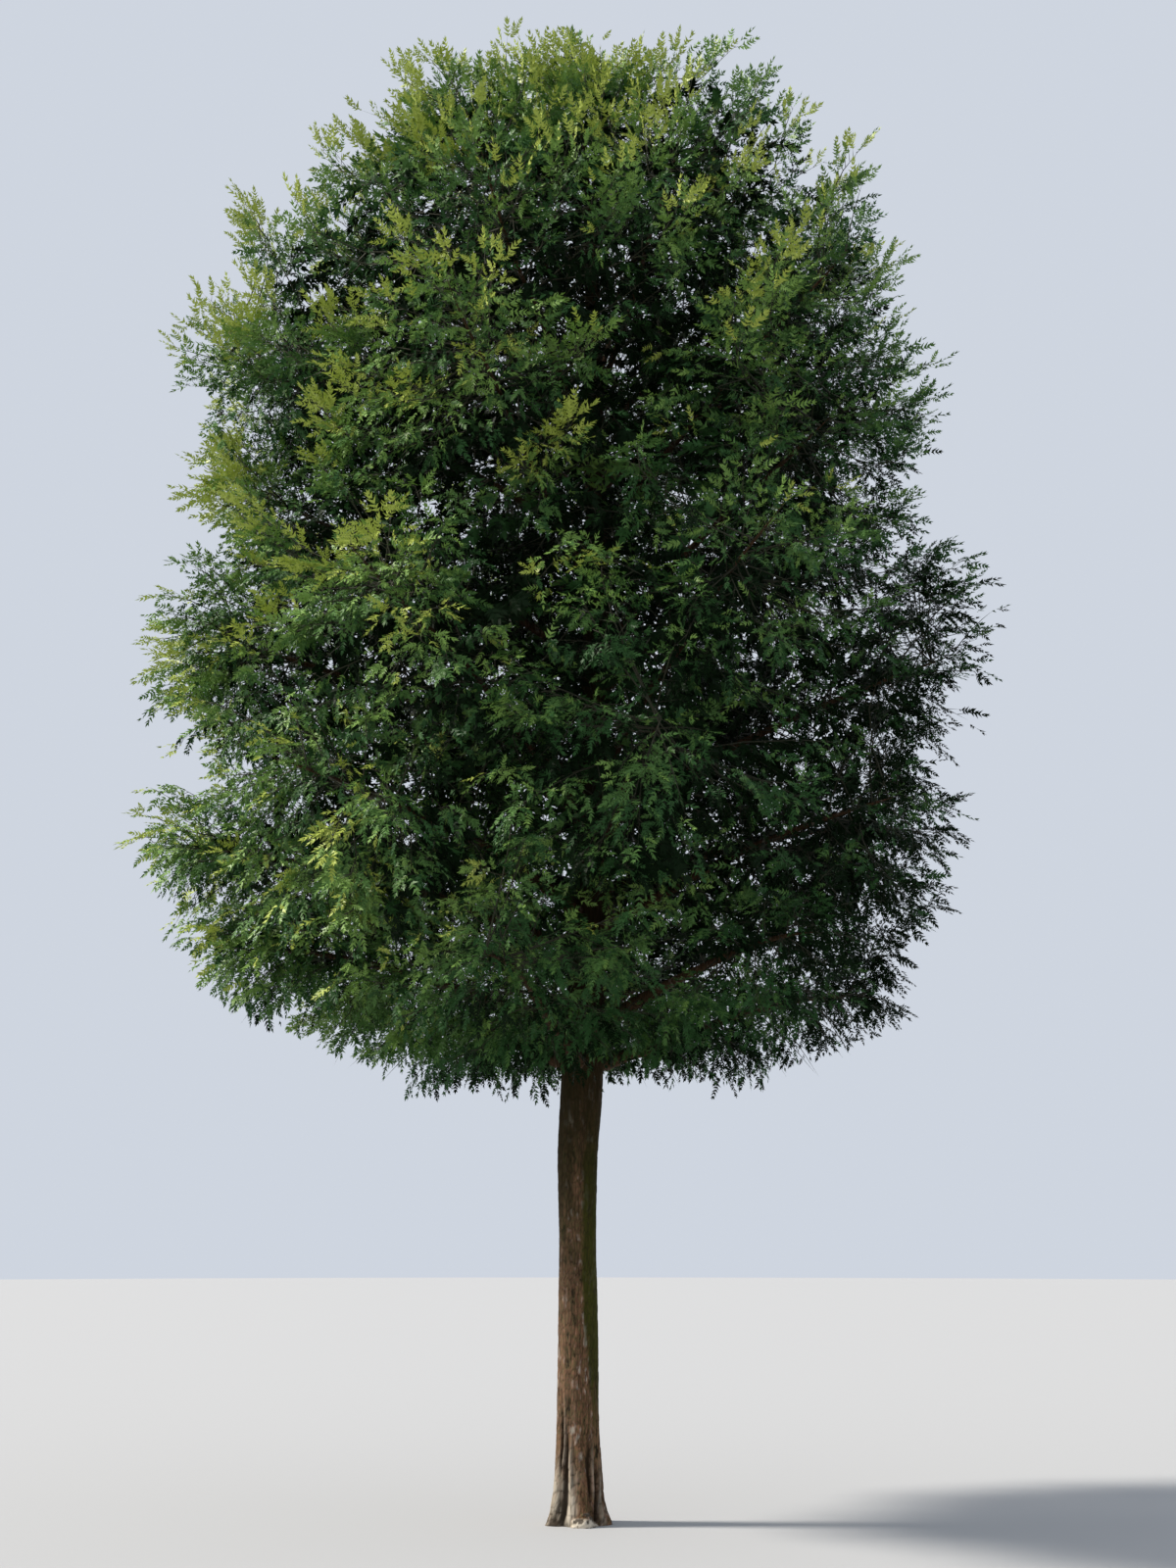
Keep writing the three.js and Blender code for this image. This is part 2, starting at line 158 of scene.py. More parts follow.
# The tiers of limbs, as in the source: name, count, azimuth of the first, root height, tip height,
# leaving and ending angle above level, and whether a bough carries the mass. Then how twigs and
# sprays grow on that tier: their bend per length, how far they stand round the stem, from flat
# fans, 0, to a plume, 1, and how many twigs a limb has as a share of the count set.
TIERS = [
    ("lowest", 6, 12, 2.70, 3.08, 16, -16, True, -0.34, 0.10, 0.90),
    ("lower", 7, 180, 3.35, 4.00, 26, 4, True, -0.24, 0.15, 1.00),
    ("broad", 6, 0, 4.10, 5.20, 36, 20, True, -0.12, 0.25, 1.20),
    ("middle", 5, 36, 4.95, 6.28, 42, 30, False, -0.02, 0.40, 1.20),
    ("upper", 5, 180, 5.75, 7.25, 46, 38, False, 0.08, 0.60, 1.25),
    ("shoulder", 5, 10, 6.50, 8.15, 52, 52, False, 0.16, 0.80, 0.90),
    ("top", 4, 25, 7.35, 8.78, 62, 66, False, 0.22, 1.00, 0.75),
]
# The side where the picture shows the fullest growth, and how much fuller it is
FULL_AZIMUTH = 180
FULL_SHARE = 1.8
ROOT_STAGGER = 0.42
TIP_STAGGER = 0.34
HEIGHT_SPREAD = 0.06
TURN_SPREAD = 6
TIP_REACH = 0.985

# The leader
LEADER_RADIUS = 0.015
LEADER_RISE = 0.26
LEADER_BEND = (-0.2, -0.03)
LEADER_TIP = (-0.32, -0.05)

# Limbs
BOUGH_END = 0.44
BOUGH_SHARE = 0.34
BOUGH_TIP_SHARE = 0.58
COLLAR = 0.35
COLLAR_LENGTH = 0.12
STEM_TIP_RADIUS = 0.005
STEM_WOOD_END = 0.93
MASS_CENTRE = 0.73

# Twigs, turned round the stem by the golden angle, as in the source but many more
GOLDEN_TURN = math.pi * (3 - math.sqrt(5))
TWIGS_END = 0.9
BOUGH_TWIGS_START = 0.40
TRUNK_TWIGS_START = 0.27
LEADER_TWIGS_START = 0.12
INNER_START = 0.16
INNER_SIZE = 0.8
TRUNK_TWIGS = 110
TWIG_SPREAD_IN = 74
TWIG_SPREAD_OUT = 42
TWIG_WIDE = 1.35
TWIG_TALL = 0.80
TWIG_LEAST = 0.18
TWIG_SAMPLES = 9
# A twig that ends outside the crown is cut to this share, again and again, but not below a length
TWIG_CUT = 0.9
TWIG_STUB = 0.1
REACH_STEP = 0.03
# Below 0, twigs of one limb mix with its neighbours' by this much
SPACE_MARGIN = -0.22

# Outside, the crown is a shell of egg-shaped bunches, and the dark hollows between them go in to
# its core: their number, radius, half length, the core's depth under the outline, the fewest twigs
# and the most outer sprays in a bunch, the core's cells and the most sprays in one, and how
# steeply the bunches point up at the crown's foot and top
BUNCHES = 460
BUNCH_RADIUS = 0.27
BUNCH_LENGTH = 0.36
CORE_DEPTH = 0.56
BUNCH_TWIGS = 3
BUNCH_SPRAYS = 150
CORE_CELL = 0.4
CELL_SPRAYS = 35
BUNCH_RISE = (-5, 65)
# How much narrower a bunch is towards its point, how far its middle stays below the crown's top
# and above its foot, and how many points are compared with all bunches at once
BUNCH_TAPER = 0.6
BUNCH_INSET = 0.20
POINTS_AT_ONCE = 8000

# A twig's end is a plume: a narrow cone of short side twigs. Below it the side twigs are longer
# and stand in a fan, further apart by this factor.
PLUME_LENGTH = 0.44
PLUME_WIDTH = 0.17
FAN_SPACING = 1.7
SPRAY_LENGTH = 0.082
# Sprays down to this depth have all their needles, and those of plumes down to the second depth
OUTER_DEPTH = 0.62
OUTER_PLUME_DEPTH = 1.10
# How far sprays may reach past the crown's outline, past a bunch's skin as a share of its radius,
# and past the solids' box as a share of its size
OUTLINE_SLACK = 0.14
BUNCH_SLACK = 1.15
BOX_SLACK = 0.025
# How much the most sprays in a bunch grow towards the far left, where the picture shows most
LEFT_SPRAYS = 1.5
# The least sprays with which a side twig and a twig are drawn
SIDE_LEAST = 2
TWIG_LEAST_SPRAYS = 8
# Pairs of needles on a spray near the outline and deep in the crown, and the triangles that a
# joined piece holds at most
OUTER_PAIRS = 5
INNER_PAIRS = 3
PIECE_TRIANGLES = 190000

# Places seen in the picture where the sky shows through the crown: left, top, right and bottom
# in pixels of the 1200 x 1600 frame, and the share of the sprays that stay
THIN_PLACES = [
    (588, 240, 642, 335, 0.55),
    (745, 585, 905, 665, 0.62),
    (745, 725, 905, 785, 0.80),
    (262, 640, 440, 720, 0.60),
    (330, 760, 430, 860, 0.62),
    (600, 690, 650, 760, 0.60),
    (480, 470, 530, 540, 0.70),
]

# The camera: 36 mm on the frame's long side
CAMERA_PLACE = (0.058, -13.08, 1.63)
CAMERA_PITCH = 11.07
CAMERA_LENS = 51.75
SENSOR = 36.0
FRAME_SIZE = (1200, 1600)
# The key light comes from high on the left, as the sun does in the picture
KEY_HEADING = (0.76, -0.02, -0.65)
KEY_COLOUR = "FFF8EE"
KEY_WIDTH = math.radians(9)

BOUGH_NODES = sorted(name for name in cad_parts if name.startswith("bough_"))
FOLIAGE_NODES = sorted(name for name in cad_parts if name.startswith("foliage_"))


def unit(vectors):
    """Vectors of length one."""
    lengths = np.linalg.norm(vectors, axis=-1, keepdims=True)
    return vectors / np.maximum(lengths, 1e-9)


def dots(a, b):
    """The dot products of two rows of vectors, as a column."""
    return np.sum(a * b, axis=-1, keepdims=True)


# The sprays' tints, from dark to bright, partly the needles' age and partly painted light and
# shade, and the shares of the sprays below each brighter one
TINTS = ("deep", "old", "leafy", "lit", "fresh")
TINT_SHARES = (0.36, 0.59, 0.80, 0.94)
# What brightens a spray and how much: how near it is to its twig's tip and the crown's outside,
# where the new growth is, painted sunlight on its side of the crown and on its bunch's crest, and
# chance by twig, limb, bunch and spray. Deep inside it is darker: older needles and painted shade.
TINT_WEIGHTS = {
    "tip": 0.15,
    "out": 0.18,
    "sun": 0.36,
    "twig": 0.05,
    "limb": 0.03,
    "crest": 0.50,
    "bunch": 0.08,
    "alone": 0.09,
    "inside": -0.45,
}
# How many limbs get a chance of their own, which is more than there are, how fast the painted
# sunlight's part falls to painted shade on the far side, and its most on the near side
LIMBS_MOST = 64
SHADE_FALL = 2.0
SUN_CAP = 0.35
# Painted sunlight in the tints: the crown's middle, the side painted sunlit, and the way a bunch's
# painted sunlit top faces
CROWN_HEART = np.array([0.0, 0.0, 5.4])
SUNNY_SIDE = unit(np.array([-0.82, -0.25, 0.50]))
SUNNY_CREST = unit(np.array([-0.40, -0.15, 0.88]))


def turned(vectors, axes, angles):
    """Vectors turned about axes by angles in radians."""
    cos = np.cos(angles)[..., None]
    sin = np.sin(angles)[..., None]
    across = np.cross(axes, vectors)
    return vectors * cos + across * sin + axes * dots(axes, vectors) * (1 - cos)


def level_side(headings):
    """A level direction square to each heading, with +X for a heading straight up."""
    sides = np.cross(headings, UP)
    steep = np.linalg.norm(sides, axis=-1) < 0.05
    sides[steep] = (1.0, 0.0, 0.0)
    return unit(sides)


def leaned(headings, towards, angles):
    """The way from a heading towards another square to it, by angles in degrees."""
    angles = np.radians(np.asarray(angles, float))[..., None]
    return unit(headings * np.cos(angles) + towards * np.sin(angles))


def smooth(low, high, values):
    """0 below low, 1 above high, and a smooth rise between."""
    share = np.clip((values - low) / (high - low), 0, 1)
    return share * share * (3 - 2 * share)


def seeded(seed):
    """The source's stream of numbers from 0 to 1."""
    state = (seed * 2654435761) & 0xFFFFFFFF
    while True:
        state = (state * 1664525 + 1013904223) & 0xFFFFFFFF
        yield state / 4294967296


def hashed(*cells):
    """A number from 0 to 1 for each lattice cell."""
    mixed = np.zeros_like(cells[0], dtype=np.uint64)
    for cell, prime in zip(cells, (73856093, 19349663, 83492791, 49979687)):
        mixed ^= np.asarray(cell, np.int64).astype(np.uint64) * np.uint64(prime)
    mixed ^= mixed >> np.uint64(13)
    mixed *= np.uint64(1274126177)
    mixed ^= mixed >> np.uint64(16)
    return (mixed & np.uint64(0xFFFF)).astype(float) / 65535.0


def lumps(points, size, seed):
    """Smooth noise from -1 to 1 whose lumps have this size, one size or one for each axis."""
    places = points / np.asarray(size, float)
    floor = np.floor(places)
    share = places - floor
    share = share * share * (3 - 2 * share)
    base = floor.astype(np.int64)
    total = np.zeros(len(points))
    for corner in range(8):
        step = np.array([corner & 1, corner >> 1 & 1, corner >> 2 & 1])
        weight = np.prod(np.where(step, share, 1 - share), axis=1)
        x, y, z = (base + step).T
        total += weight * hashed(x, y, z, seed)
    return 2 * total - 1


def trunk_centre(heights):
    """The middle of the trunk at each height."""
    heights = np.asarray(heights, float)
    share = np.clip((heights - SWAY_FOOT) / (HEIGHT - SWAY_FOOT), 0, 1)
    sway = TRUNK_SWAY * np.sin(np.pi * share)
    return np.stack([sway, -sway * share, heights], axis=-1)


def trunk_radius(heights):
    """The trunk's radius at each height, without its root lobes."""
    return np.interp(heights, *TRUNK_PROFILE.T)


def crown_reach(heights, azimuths):
    """How far the crown reaches at each height and azimuth."""
    left, right, front, back = (
        np.interp(heights, table[:, 0], table[:, column])
        for table in (CROWN_PROFILE, CROWN_DEPTH)
        for column in (1, 2)
    )
    to_right = (1 + np.cos(azimuths)) / 2
    depth = np.where(np.sin(azimuths) < 0, front, back)
    squeezed = 1 + (depth - 1) * np.sin(azimuths) ** 2
    return (left + (right - left) * to_right) * squeezed


def depth_inside(points):
    """How far each point lies inside the crown's outline, level or from its top and foot."""
    reach = crown_reach(points[:, 2], np.arctan2(points[:, 1], points[:, 0]))
    level = reach - np.hypot(points[:, 0], points[:, 1])
    below = HEIGHT - points[:, 2]
    above = points[:, 2] - CROWN_FOOT
    return np.minimum(level, np.minimum(below, above))


@functools.cache
def make_bunches():
    """The bunches' middles and axes, spread over the crown's outside by the golden angle."""
    noise = np.random.default_rng(SEED + 2)
    # The outline from the middle of the crown's foot, up its side and in to the middle of its top
    side = np.linspace(CROWN_FOOT, HEIGHT, 200)
    height = np.concatenate([np.full(40, side[0]), side, np.full(30, HEIGHT)])
    share = np.concatenate([np.linspace(0.25, 1, 40), np.ones(200), np.linspace(1, 0, 30)])
    reach = crown_reach(height, np.zeros(len(height))) * share
    steps = np.hypot(np.diff(height), np.diff(reach)) * (reach[1:] + reach[:-1])
    area = np.concatenate([[0], np.cumsum(steps)])
    places = (np.arange(BUNCHES) + noise.uniform(0.1, 0.9, BUNCHES)) / BUNCHES * area[-1]
    height = np.interp(places, area, height)
    share = np.interp(places, area, share)
    azimuth = np.arange(BUNCHES) * GOLDEN_TURN + noise.normal(0, 0.06, BUNCHES)
    up = (height - CROWN_FOOT) / (HEIGHT - CROWN_FOOT)
    rise = BUNCH_RISE[0] + (BUNCH_RISE[1] - BUNCH_RISE[0]) * up**1.2 + noise.normal(0, 8, BUNCHES)
    outward = np.column_stack([np.cos(azimuth), np.sin(azimuth), np.zeros(BUNCHES)])
    axes = leaned(outward, UP, rise)
    middles = outward * (crown_reach(height, azimuth) * share)[:, None]
    middles[:, 2] = height
    # Some are short and round and some are long plumes, most of these high in the crown
    stretch = 0.75 + noise.beta(1.3, 1.7, BUNCHES) * (0.6 + 0.9 * up)
    length = BUNCH_LENGTH * stretch
    radius = BUNCH_RADIUS * (1.12 - 0.40 * (stretch - 0.75))
    middles = middles - axes * (length * noise.uniform(0.80, 1.36, BUNCHES) + 0.01)[:, None]
    middles[:, 2] = np.clip(middles[:, 2], CROWN_FOOT + BUNCH_INSET, HEIGHT - BUNCH_INSET)
    return middles, axes, length, radius


def nearest_bunch(points):
    """The number of each point's bunch, and how far out in it the point is, 1 at its skin."""
    middles, axes, length, radius = make_bunches()
    numbers = []
    outs = []
    for block in np.array_split(points, max(1, len(points) // POINTS_AT_ONCE)):
        along = block @ axes.T - np.sum(middles * axes, axis=1)
        apart = np.sum(block**2, axis=1)[:, None] - 2 * block @ middles.T
        apart = apart + np.sum(middles**2, axis=1)
        across = np.sqrt(np.maximum(apart - along**2, 0)) / radius
        along = along / length
        out = np.hypot(across * (1 + BUNCH_TAPER * np.clip(along, -1, 1)), along)
        number = np.argmin(out, axis=1)
        numbers.append(number)
        outs.append(out[np.arange(len(block)), number])
    return np.concatenate(numbers), np.concatenate(outs)


def beyond_growth(points):
    """How far each point lies past the bunches and the core, which is below 0 within them."""
    _, out = nearest_bunch(points)
    return np.minimum(CORE_DEPTH - depth_inside(points), (out - 1) * BUNCH_RADIUS)


def seen_at(points):
    """Where points show in the picture, in pixels from its upper left corner."""
    pitch = math.radians(CAMERA_PITCH)
    away = points - np.array(CAMERA_PLACE)
    ahead = away[:, 1] * math.cos(pitch) + away[:, 2] * math.sin(pitch)
    rise = away[:, 2] * math.cos(pitch) - away[:, 1] * math.sin(pitch)
    scale = CAMERA_LENS / SENSOR * FRAME_SIZE[1]
    across = FRAME_SIZE[0] / 2 + scale * away[:, 0] / ahead
    down = FRAME_SIZE[1] / 2 - scale * rise / ahead
    return across, down


class Limb:
    """One bough or stem: its curve, read by the share of its length, and what grows on it."""

    def __init__(self, corners, root_radius, bough, leader, bend, plume, fullness):
        self.corners = np.array(corners)
        self.root_radius = root_radius
        self.bough = bough
        self.leader = leader
        self.bend = bend
        self.plume = plume
        self.fullness = fullness
        self.steps = np.linspace(0, 1, 201)
        track = self.bezier(self.steps)
        walked = np.linalg.norm(np.diff(track, axis=0), axis=1)
        self.walked = np.concatenate([[0], np.cumsum(walked)])
        self.length = self.walked[-1]
        self.centre = self.point(0.5 if leader else MASS_CENTRE)

    def bezier(self, t):
        t = np.asarray(t, float)[..., None]
        a, b, c, d = self.corners
        back = 1 - t
        return back**3 * a + 3 * back**2 * t * b + 3 * back * t**2 * c + t**3 * d

    def time(self, share):
        return np.interp(np.asarray(share, float) * self.length, self.walked, self.steps)

    def point(self, share):
        return self.bezier(self.time(share))

    def tangent(self, share):
        t = self.time(share)[..., None]
        a, b, c, d = self.corners
        back = 1 - t
        return unit(back**2 * (b - a) + 2 * back * t * (c - b) + t**2 * (d - c))

    def radius(self, share):
        tip = BOUGH_TIP_SHARE * self.root_radius if self.bough else STEM_TIP_RADIUS
        end = BOUGH_END if self.bough else STEM_WOOD_END
        along = self.root_radius + (tip - self.root_radius) * np.minimum(1, share / end)
        if self.bough:
            out = np.clip((share - BOUGH_END) / (STEM_WOOD_END - BOUGH_END), 0, 1)
            along = along + (STEM_TIP_RADIUS - tip) * out
        collar = 0 if self.leader else COLLAR * np.exp(-share / COLLAR_LENGTH)
        return np.maximum(along * (1 + collar), STEM_TIP_RADIUS * 0.6)


def make_limb(tier, i, random):
    """One limb of a tier, as in the source."""
    _, count, turn, root_height, tip_height, leave, end, bough, bend, plume, twigs = tier
    azimuth = math.radians(turn + 360 * i / count + TURN_SPREAD * (2 * next(random) - 1))
    stagger = ((3 * i) % count) / (count - 1) - 0.5
    tip_height += TIP_STAGGER * stagger + HEIGHT_SPREAD * (next(random) - 0.5)
    root_height += ROOT_STAGGER * stagger + HEIGHT_SPREAD * (next(random) - 0.5)
    outward = np.array([math.cos(azimuth), math.sin(azimuth), 0.0])
    root = trunk_centre(root_height)
    tip = outward * TIP_REACH * crown_reach(tip_height, azimuth)
    tip[2] = tip_height
    handle = np.linalg.norm(tip - root) / 3
    corners = [
        root,
        root + leaned(outward, UP, leave) * handle,
        tip - leaned(outward, UP, end) * handle,
        tip,
    ]
    root_radius = BOUGH_SHARE * float(trunk_radius(root_height))
    towards_full = max(0.0, math.cos(azimuth - math.radians(FULL_AZIMUTH)))
    twigs *= 1 + (FULL_SHARE - 1) * towards_full**2
    return Limb(corners, root_radius, bough, False, bend, plume, twigs)


@functools.cache
def make_limbs():
    """Every limb of the tree, in the source's order."""
    random = seeded(SEED)
    limbs = [make_limb(tier, i, random) for tier in TIERS for i in range(tier[1])]
    foot = trunk_centre(TRUNK_TOP + CLEARANCE)
    corners = [
        foot,
        foot + (0, 0, LEADER_RISE),
        (*LEADER_BEND, HEIGHT - LEADER_RISE),
        (*LEADER_TIP, HEIGHT),
    ]
    limbs.append(Limb(corners, LEADER_RADIUS, False, True, 0.2, 1.0, 0.5))
    return limbs


def make_room(limb, limbs):
    """The reach ahead of a place, within the mass's own space and the crown's outline."""
    others = [other for other in limbs if other is not limb]
    aways = unit(np.array([other.centre - limb.centre for other in others]))
    middles = np.array([(other.centre + limb.centre) / 2 for other in others])
    edges = np.sum(aways * middles, axis=1) - SPACE_MARGIN

    def room_ahead(place, heading, most):
        walked = np.arange(1, int(most / REACH_STEP) + 1) * REACH_STEP
        ahead = place + walked[:, None] * heading
        in_space = np.all(ahead @ aways.T < edges, axis=1)
        in_crown = beyond_growth(ahead) <= 0
        in_crown &= (ahead[:, 2] >= CROWN_FOOT) & (ahead[:, 2] <= HEIGHT)
        fits = in_space & in_crown
        clear = len(fits) if fits.all() else int(np.argmin(fits))
        return clear * REACH_STEP

    return room_ahead


def bent_twig(place, heading, length, pull):
    """The points and headings of a twig that is pulled aside, shortened to end in the crown."""
    shares = np.linspace(0, 1, TWIG_SAMPLES)[:, None]
    while True:
        track = place + length * (shares * heading + shares**2 * pull)
        z = track[-1, 2]
        in_crown = float(beyond_growth(track[-1:])[0]) < 0.02
        if (in_crown and CROWN_FOOT - 0.06 < z < HEIGHT - 0.04) or length < TWIG_STUB:
            return track, unit(heading + 2 * shares * pull), length
        length *= TWIG_CUT


def trunk_twigs(count, random):
    """Twigs straight from the upper trunk, which hide it: where, which way and how long."""
    for k in range(count):
        height = 2.62 + (TRUNK_TOP - 2.67) * ((k + 0.5) / count) ** 1.25
        turn = k * GOLDEN_TURN
        around = np.array([math.cos(turn), math.sin(turn), 0.0])
        rise = 15 + 35 * (height - 2.6) / (TRUNK_TOP - 2.6) + 14 * (next(random) - 0.5)
        heading = leaned(around, UP, rise)
        place = trunk_centre(height)
        yield place, heading, 0.55 + 0.45 * next(random), around


def twigs_to_bunches(rows, limbs, noise):
    """More twigs where fewer than enough end in a bunch, each bent from a limb to its middle."""
    middles, axes, lengths, _ = make_bunches()
    ends = np.array([row[0][-1] for row in rows])
    number, out = nearest_bunch(ends)
    reached = np.bincount(number[out < 1.0], minlength=BUNCHES)
    shares = np.linspace(0.12, 0.93, 40)
    starts = np.array([limb.point(shares) for limb in limbs])
    alongs = np.array([limb.tangent(shares) for limb in limbs])
    bare = np.tile(shares < BOUGH_TWIGS_START, (len(limbs), 1))
    bare &= np.array([limb.bough for limb in limbs])[:, None]
    steps = np.linspace(0, 1, TWIG_SAMPLES)[:, None]
    more = []
    for bunch in np.flatnonzero(reached < BUNCH_TWIGS):
        for _ in range(BUNCH_TWIGS - reached[bunch]):
            target = middles[bunch] + noise.normal(0, 0.06, 3) + 0.45 * lengths[bunch] * axes[bunch]
            away = target - starts
            far = np.linalg.norm(away, axis=2)
            forward = np.sum(away * alongs, axis=2) / far
            cost = far + 0.8 * np.maximum(0, 0.35 - forward) + 0.5 * bare
            cost += noise.uniform(0, 0.15, far.shape) + 9 * (far < 0.22)
            index, step = np.unravel_index(np.argmin(cost), cost.shape)
            if far[index, step] > TWIG_WIDE:
                continue
            start = starts[index, step]
            straight = target - start
            ending = axes[bunch] * far[index, step] * 0.9
            first, second = 2 * straight - ending, ending - straight
            track = start + steps * first + steps**2 * second
            headings = unit(first + 2 * steps * second)
            limb = limbs[index]
            more.append((track, headings, far[index, step], limb.bend, limb.plume, index, True))
    return more


def grow_twigs(count, inner_count, noise):
    """The twigs: each one's points and headings, its length, and how its sprays stand."""
    limbs = make_limbs()
    shares = np.linspace(0, 1, TWIG_SAMPLES)
    rows = []
    for index, limb in enumerate(limbs):
        random = seeded(SEED + 100 * (index + 1))
        next(random)
        phase = 2 * math.pi * next(random)
        room_ahead = make_room(limb, limbs)
        trunk_start = LEADER_TWIGS_START if limb.leader else TRUNK_TWIGS_START
        start = BOUGH_TWIGS_START if limb.bough else trunk_start
        number = round(count * limb.fullness)
        # Where twigs start, their turn and their size: the outer ones, then the inner ones
        places = [(start + (TWIGS_END - start) * (k + 0.5) / number, k, 1.0) for k in range(number)]
        if not limb.leader:
            places += [
                (INNER_START + (start - INNER_START) * (k + 0.5) / inner_count, k + 3, INNER_SIZE)
                for k in range(inner_count)
            ]
        for at, k, size in places:
            share = max(0.0, (at - start) / (TWIGS_END - start))
            place = limb.point(at)
            along = limb.tangent(at)
            turn = np.array([phase + k * GOLDEN_TURN])
            around = turned(level_side(along[None]), along[None], turn)
            spread = TWIG_SPREAD_IN + (TWIG_SPREAD_OUT - TWIG_SPREAD_IN) * share
            heading = leaned(along, around[0], spread + 8 * (next(random) - 0.5))
            rise = abs(heading[2])
            most = 1 / math.hypot(math.sqrt(1 - rise * rise) / TWIG_WIDE, rise / TWIG_TALL)
            most *= size * (1 - 0.44 * share**1.5) * (0.75 + 0.3 * next(random))
            length = min(most, room_ahead(place, heading, most + REACH_STEP))
            if length < TWIG_LEAST:
                continue
            outward = np.array([place[0], place[1], 0.0])
            outward /= max(0.2, np.linalg.norm(outward))
            bend = limb.bend + 0.10 * (next(random) - 0.5)
            pull = outward * (0.10 + 0.06 * next(random)) + np.array([0.0, 0.0, bend])
            track, headings, length = bent_twig(place, heading, length, pull)
            if length > TWIG_LEAST:
                rows.append((track, headings, length, limb.bend, limb.plume, index, True))
        tip_start = 0.45 if limb.leader else 0.80
        along = tip_start + (1 - tip_start) * shares
        length = (1 - tip_start) * limb.length
        track, headings = limb.point(along), limb.tangent(along)
        rows.append((track, headings, length, limb.bend, limb.plume, index, False))
    rows += twigs_to_bunches(rows, limbs, noise)
    random = seeded(SEED)
    for place, heading, length, around in trunk_twigs(TRUNK_TWIGS, random):
        bend = 0.25 * (place[2] - 5.6) / 5.6
        pull = around * 0.1 + np.array([0.0, 0.0, bend])
        track, headings, length = bent_twig(place, heading, length, pull)
        rows.append((track, headings, length, bend, 0.4, len(limbs), True))
    names = ("track", "headings", "length", "bend", "plume", "limb", "wood")
    return {name: np.array([row[i] for row in rows]) for i, name in enumerate(names)}


def sampled(tracks, owners, shares):
    """Points at shares of the way along the tracks that own them."""
    places = np.clip(shares, 0, 1) * (TWIG_SAMPLES - 1)
    low = np.minimum(places.astype(int), TWIG_SAMPLES - 2)
    part = (places - low)[:, None]
    return tracks[owners, low] * (1 - part) + tracks[owners, low + 1] * part


def dealt(counts, noise):
    """What grows on each owner in turn: its owner, its number there, and its uneven place."""
    owners = np.repeat(np.arange(len(counts)), counts)
    number = np.arange(len(owners)) - np.repeat(np.cumsum(counts) - counts, counts)
    return owners, number, number + noise.uniform(0.2, 0.8, len(owners))


def square(vectors, headings):
    """The part of vectors that is square to the headings, with length one."""
    return unit(vectors - headings * dots(vectors, headings))


def grow_side_twigs(twigs, step, noise):
    """The side twigs on each twig: long ones in a fan, then short ones all round its plume."""
    length = twigs["length"]
    plume_length = np.minimum(0.75 * length, PLUME_LENGTH)
    fan_counts = np.round((0.97 * length - plume_length) / (FAN_SPACING * step)).astype(int)
    plume_counts = np.maximum(3, np.round(plume_length / step)).astype(int)
    groups = []
    for counts, in_plume in ((np.maximum(0, fan_counts), False), (plume_counts, True)):
        owners, number, part = dealt(counts, noise)
        part = part / counts[owners]
        split = 1 - plume_length[owners] / length[owners]
        share = split + (0.98 - split) * part if in_plume else 0.05 + (split - 0.05) * part
        shape = np.minimum(1, 0.5 + 1.6 * share) * np.maximum(0.0, 1 - share) ** 0.7
        reach = np.clip(0.54 * length[owners] * shape, 0.15, 0.46)
        if in_plume:
            reach = np.minimum(reach, PLUME_WIDTH * (1.0 - 0.62 * part))
        reach = reach * noise.uniform(0.75, 1.15, len(owners))
        groups.append((owners, number, share, reach, np.full(len(owners), in_plume)))
    owners, number, share, reach, in_plume = (np.concatenate(part) for part in zip(*groups))
    place = sampled(twigs["track"], owners, share)
    along = unit(sampled(twigs["headings"], owners, share))
    plume = twigs["plume"][owners]
    flat = level_side(along)
    all_round = in_plume & (noise.uniform(0, 1, len(owners)) < 0.35 + 0.6 * plume)
    twist = number * GOLDEN_TURN * all_round
    twist = twist + np.radians(noise.normal(0, 16 + 16 * plume))
    side = turned(flat, along, twist) * np.where(number % 2, 1, -1)[:, None]
    spread = np.where(in_plume, 56 - 14 * share, 60 - 20 * share)
    heading = leaned(along, side, spread + noise.uniform(-7, 7, len(owners)))
    # The fan's plane: square to the side twig, towards its twig's tip
    plane = square(along, heading)
    droop = np.where(in_plume, 0.0, 0.16 * (1 - plume))
    bend = 0.8 * twigs["bend"][owners] - droop + noise.uniform(-0.10, 0.06, len(owners))
    names = "place heading plane length bend owner share plume in_plume".split()
    parts = (place, heading, plane, reach, bend, owners, share, plume, in_plume)
    return dict(zip(names, parts))


def side_point(side, rows, share):
    """Points and headings at shares of the way along side twigs."""
    length = side["length"][rows][:, None]
    share = share[:, None]
    drop = np.zeros((len(rows), 3))
    drop[:, 2] = side["bend"][rows]
    heading = side["heading"][rows]
    place = side["place"][rows] + length * (share * heading + share**2 * drop)
    return place, unit(heading + 2 * share * drop)


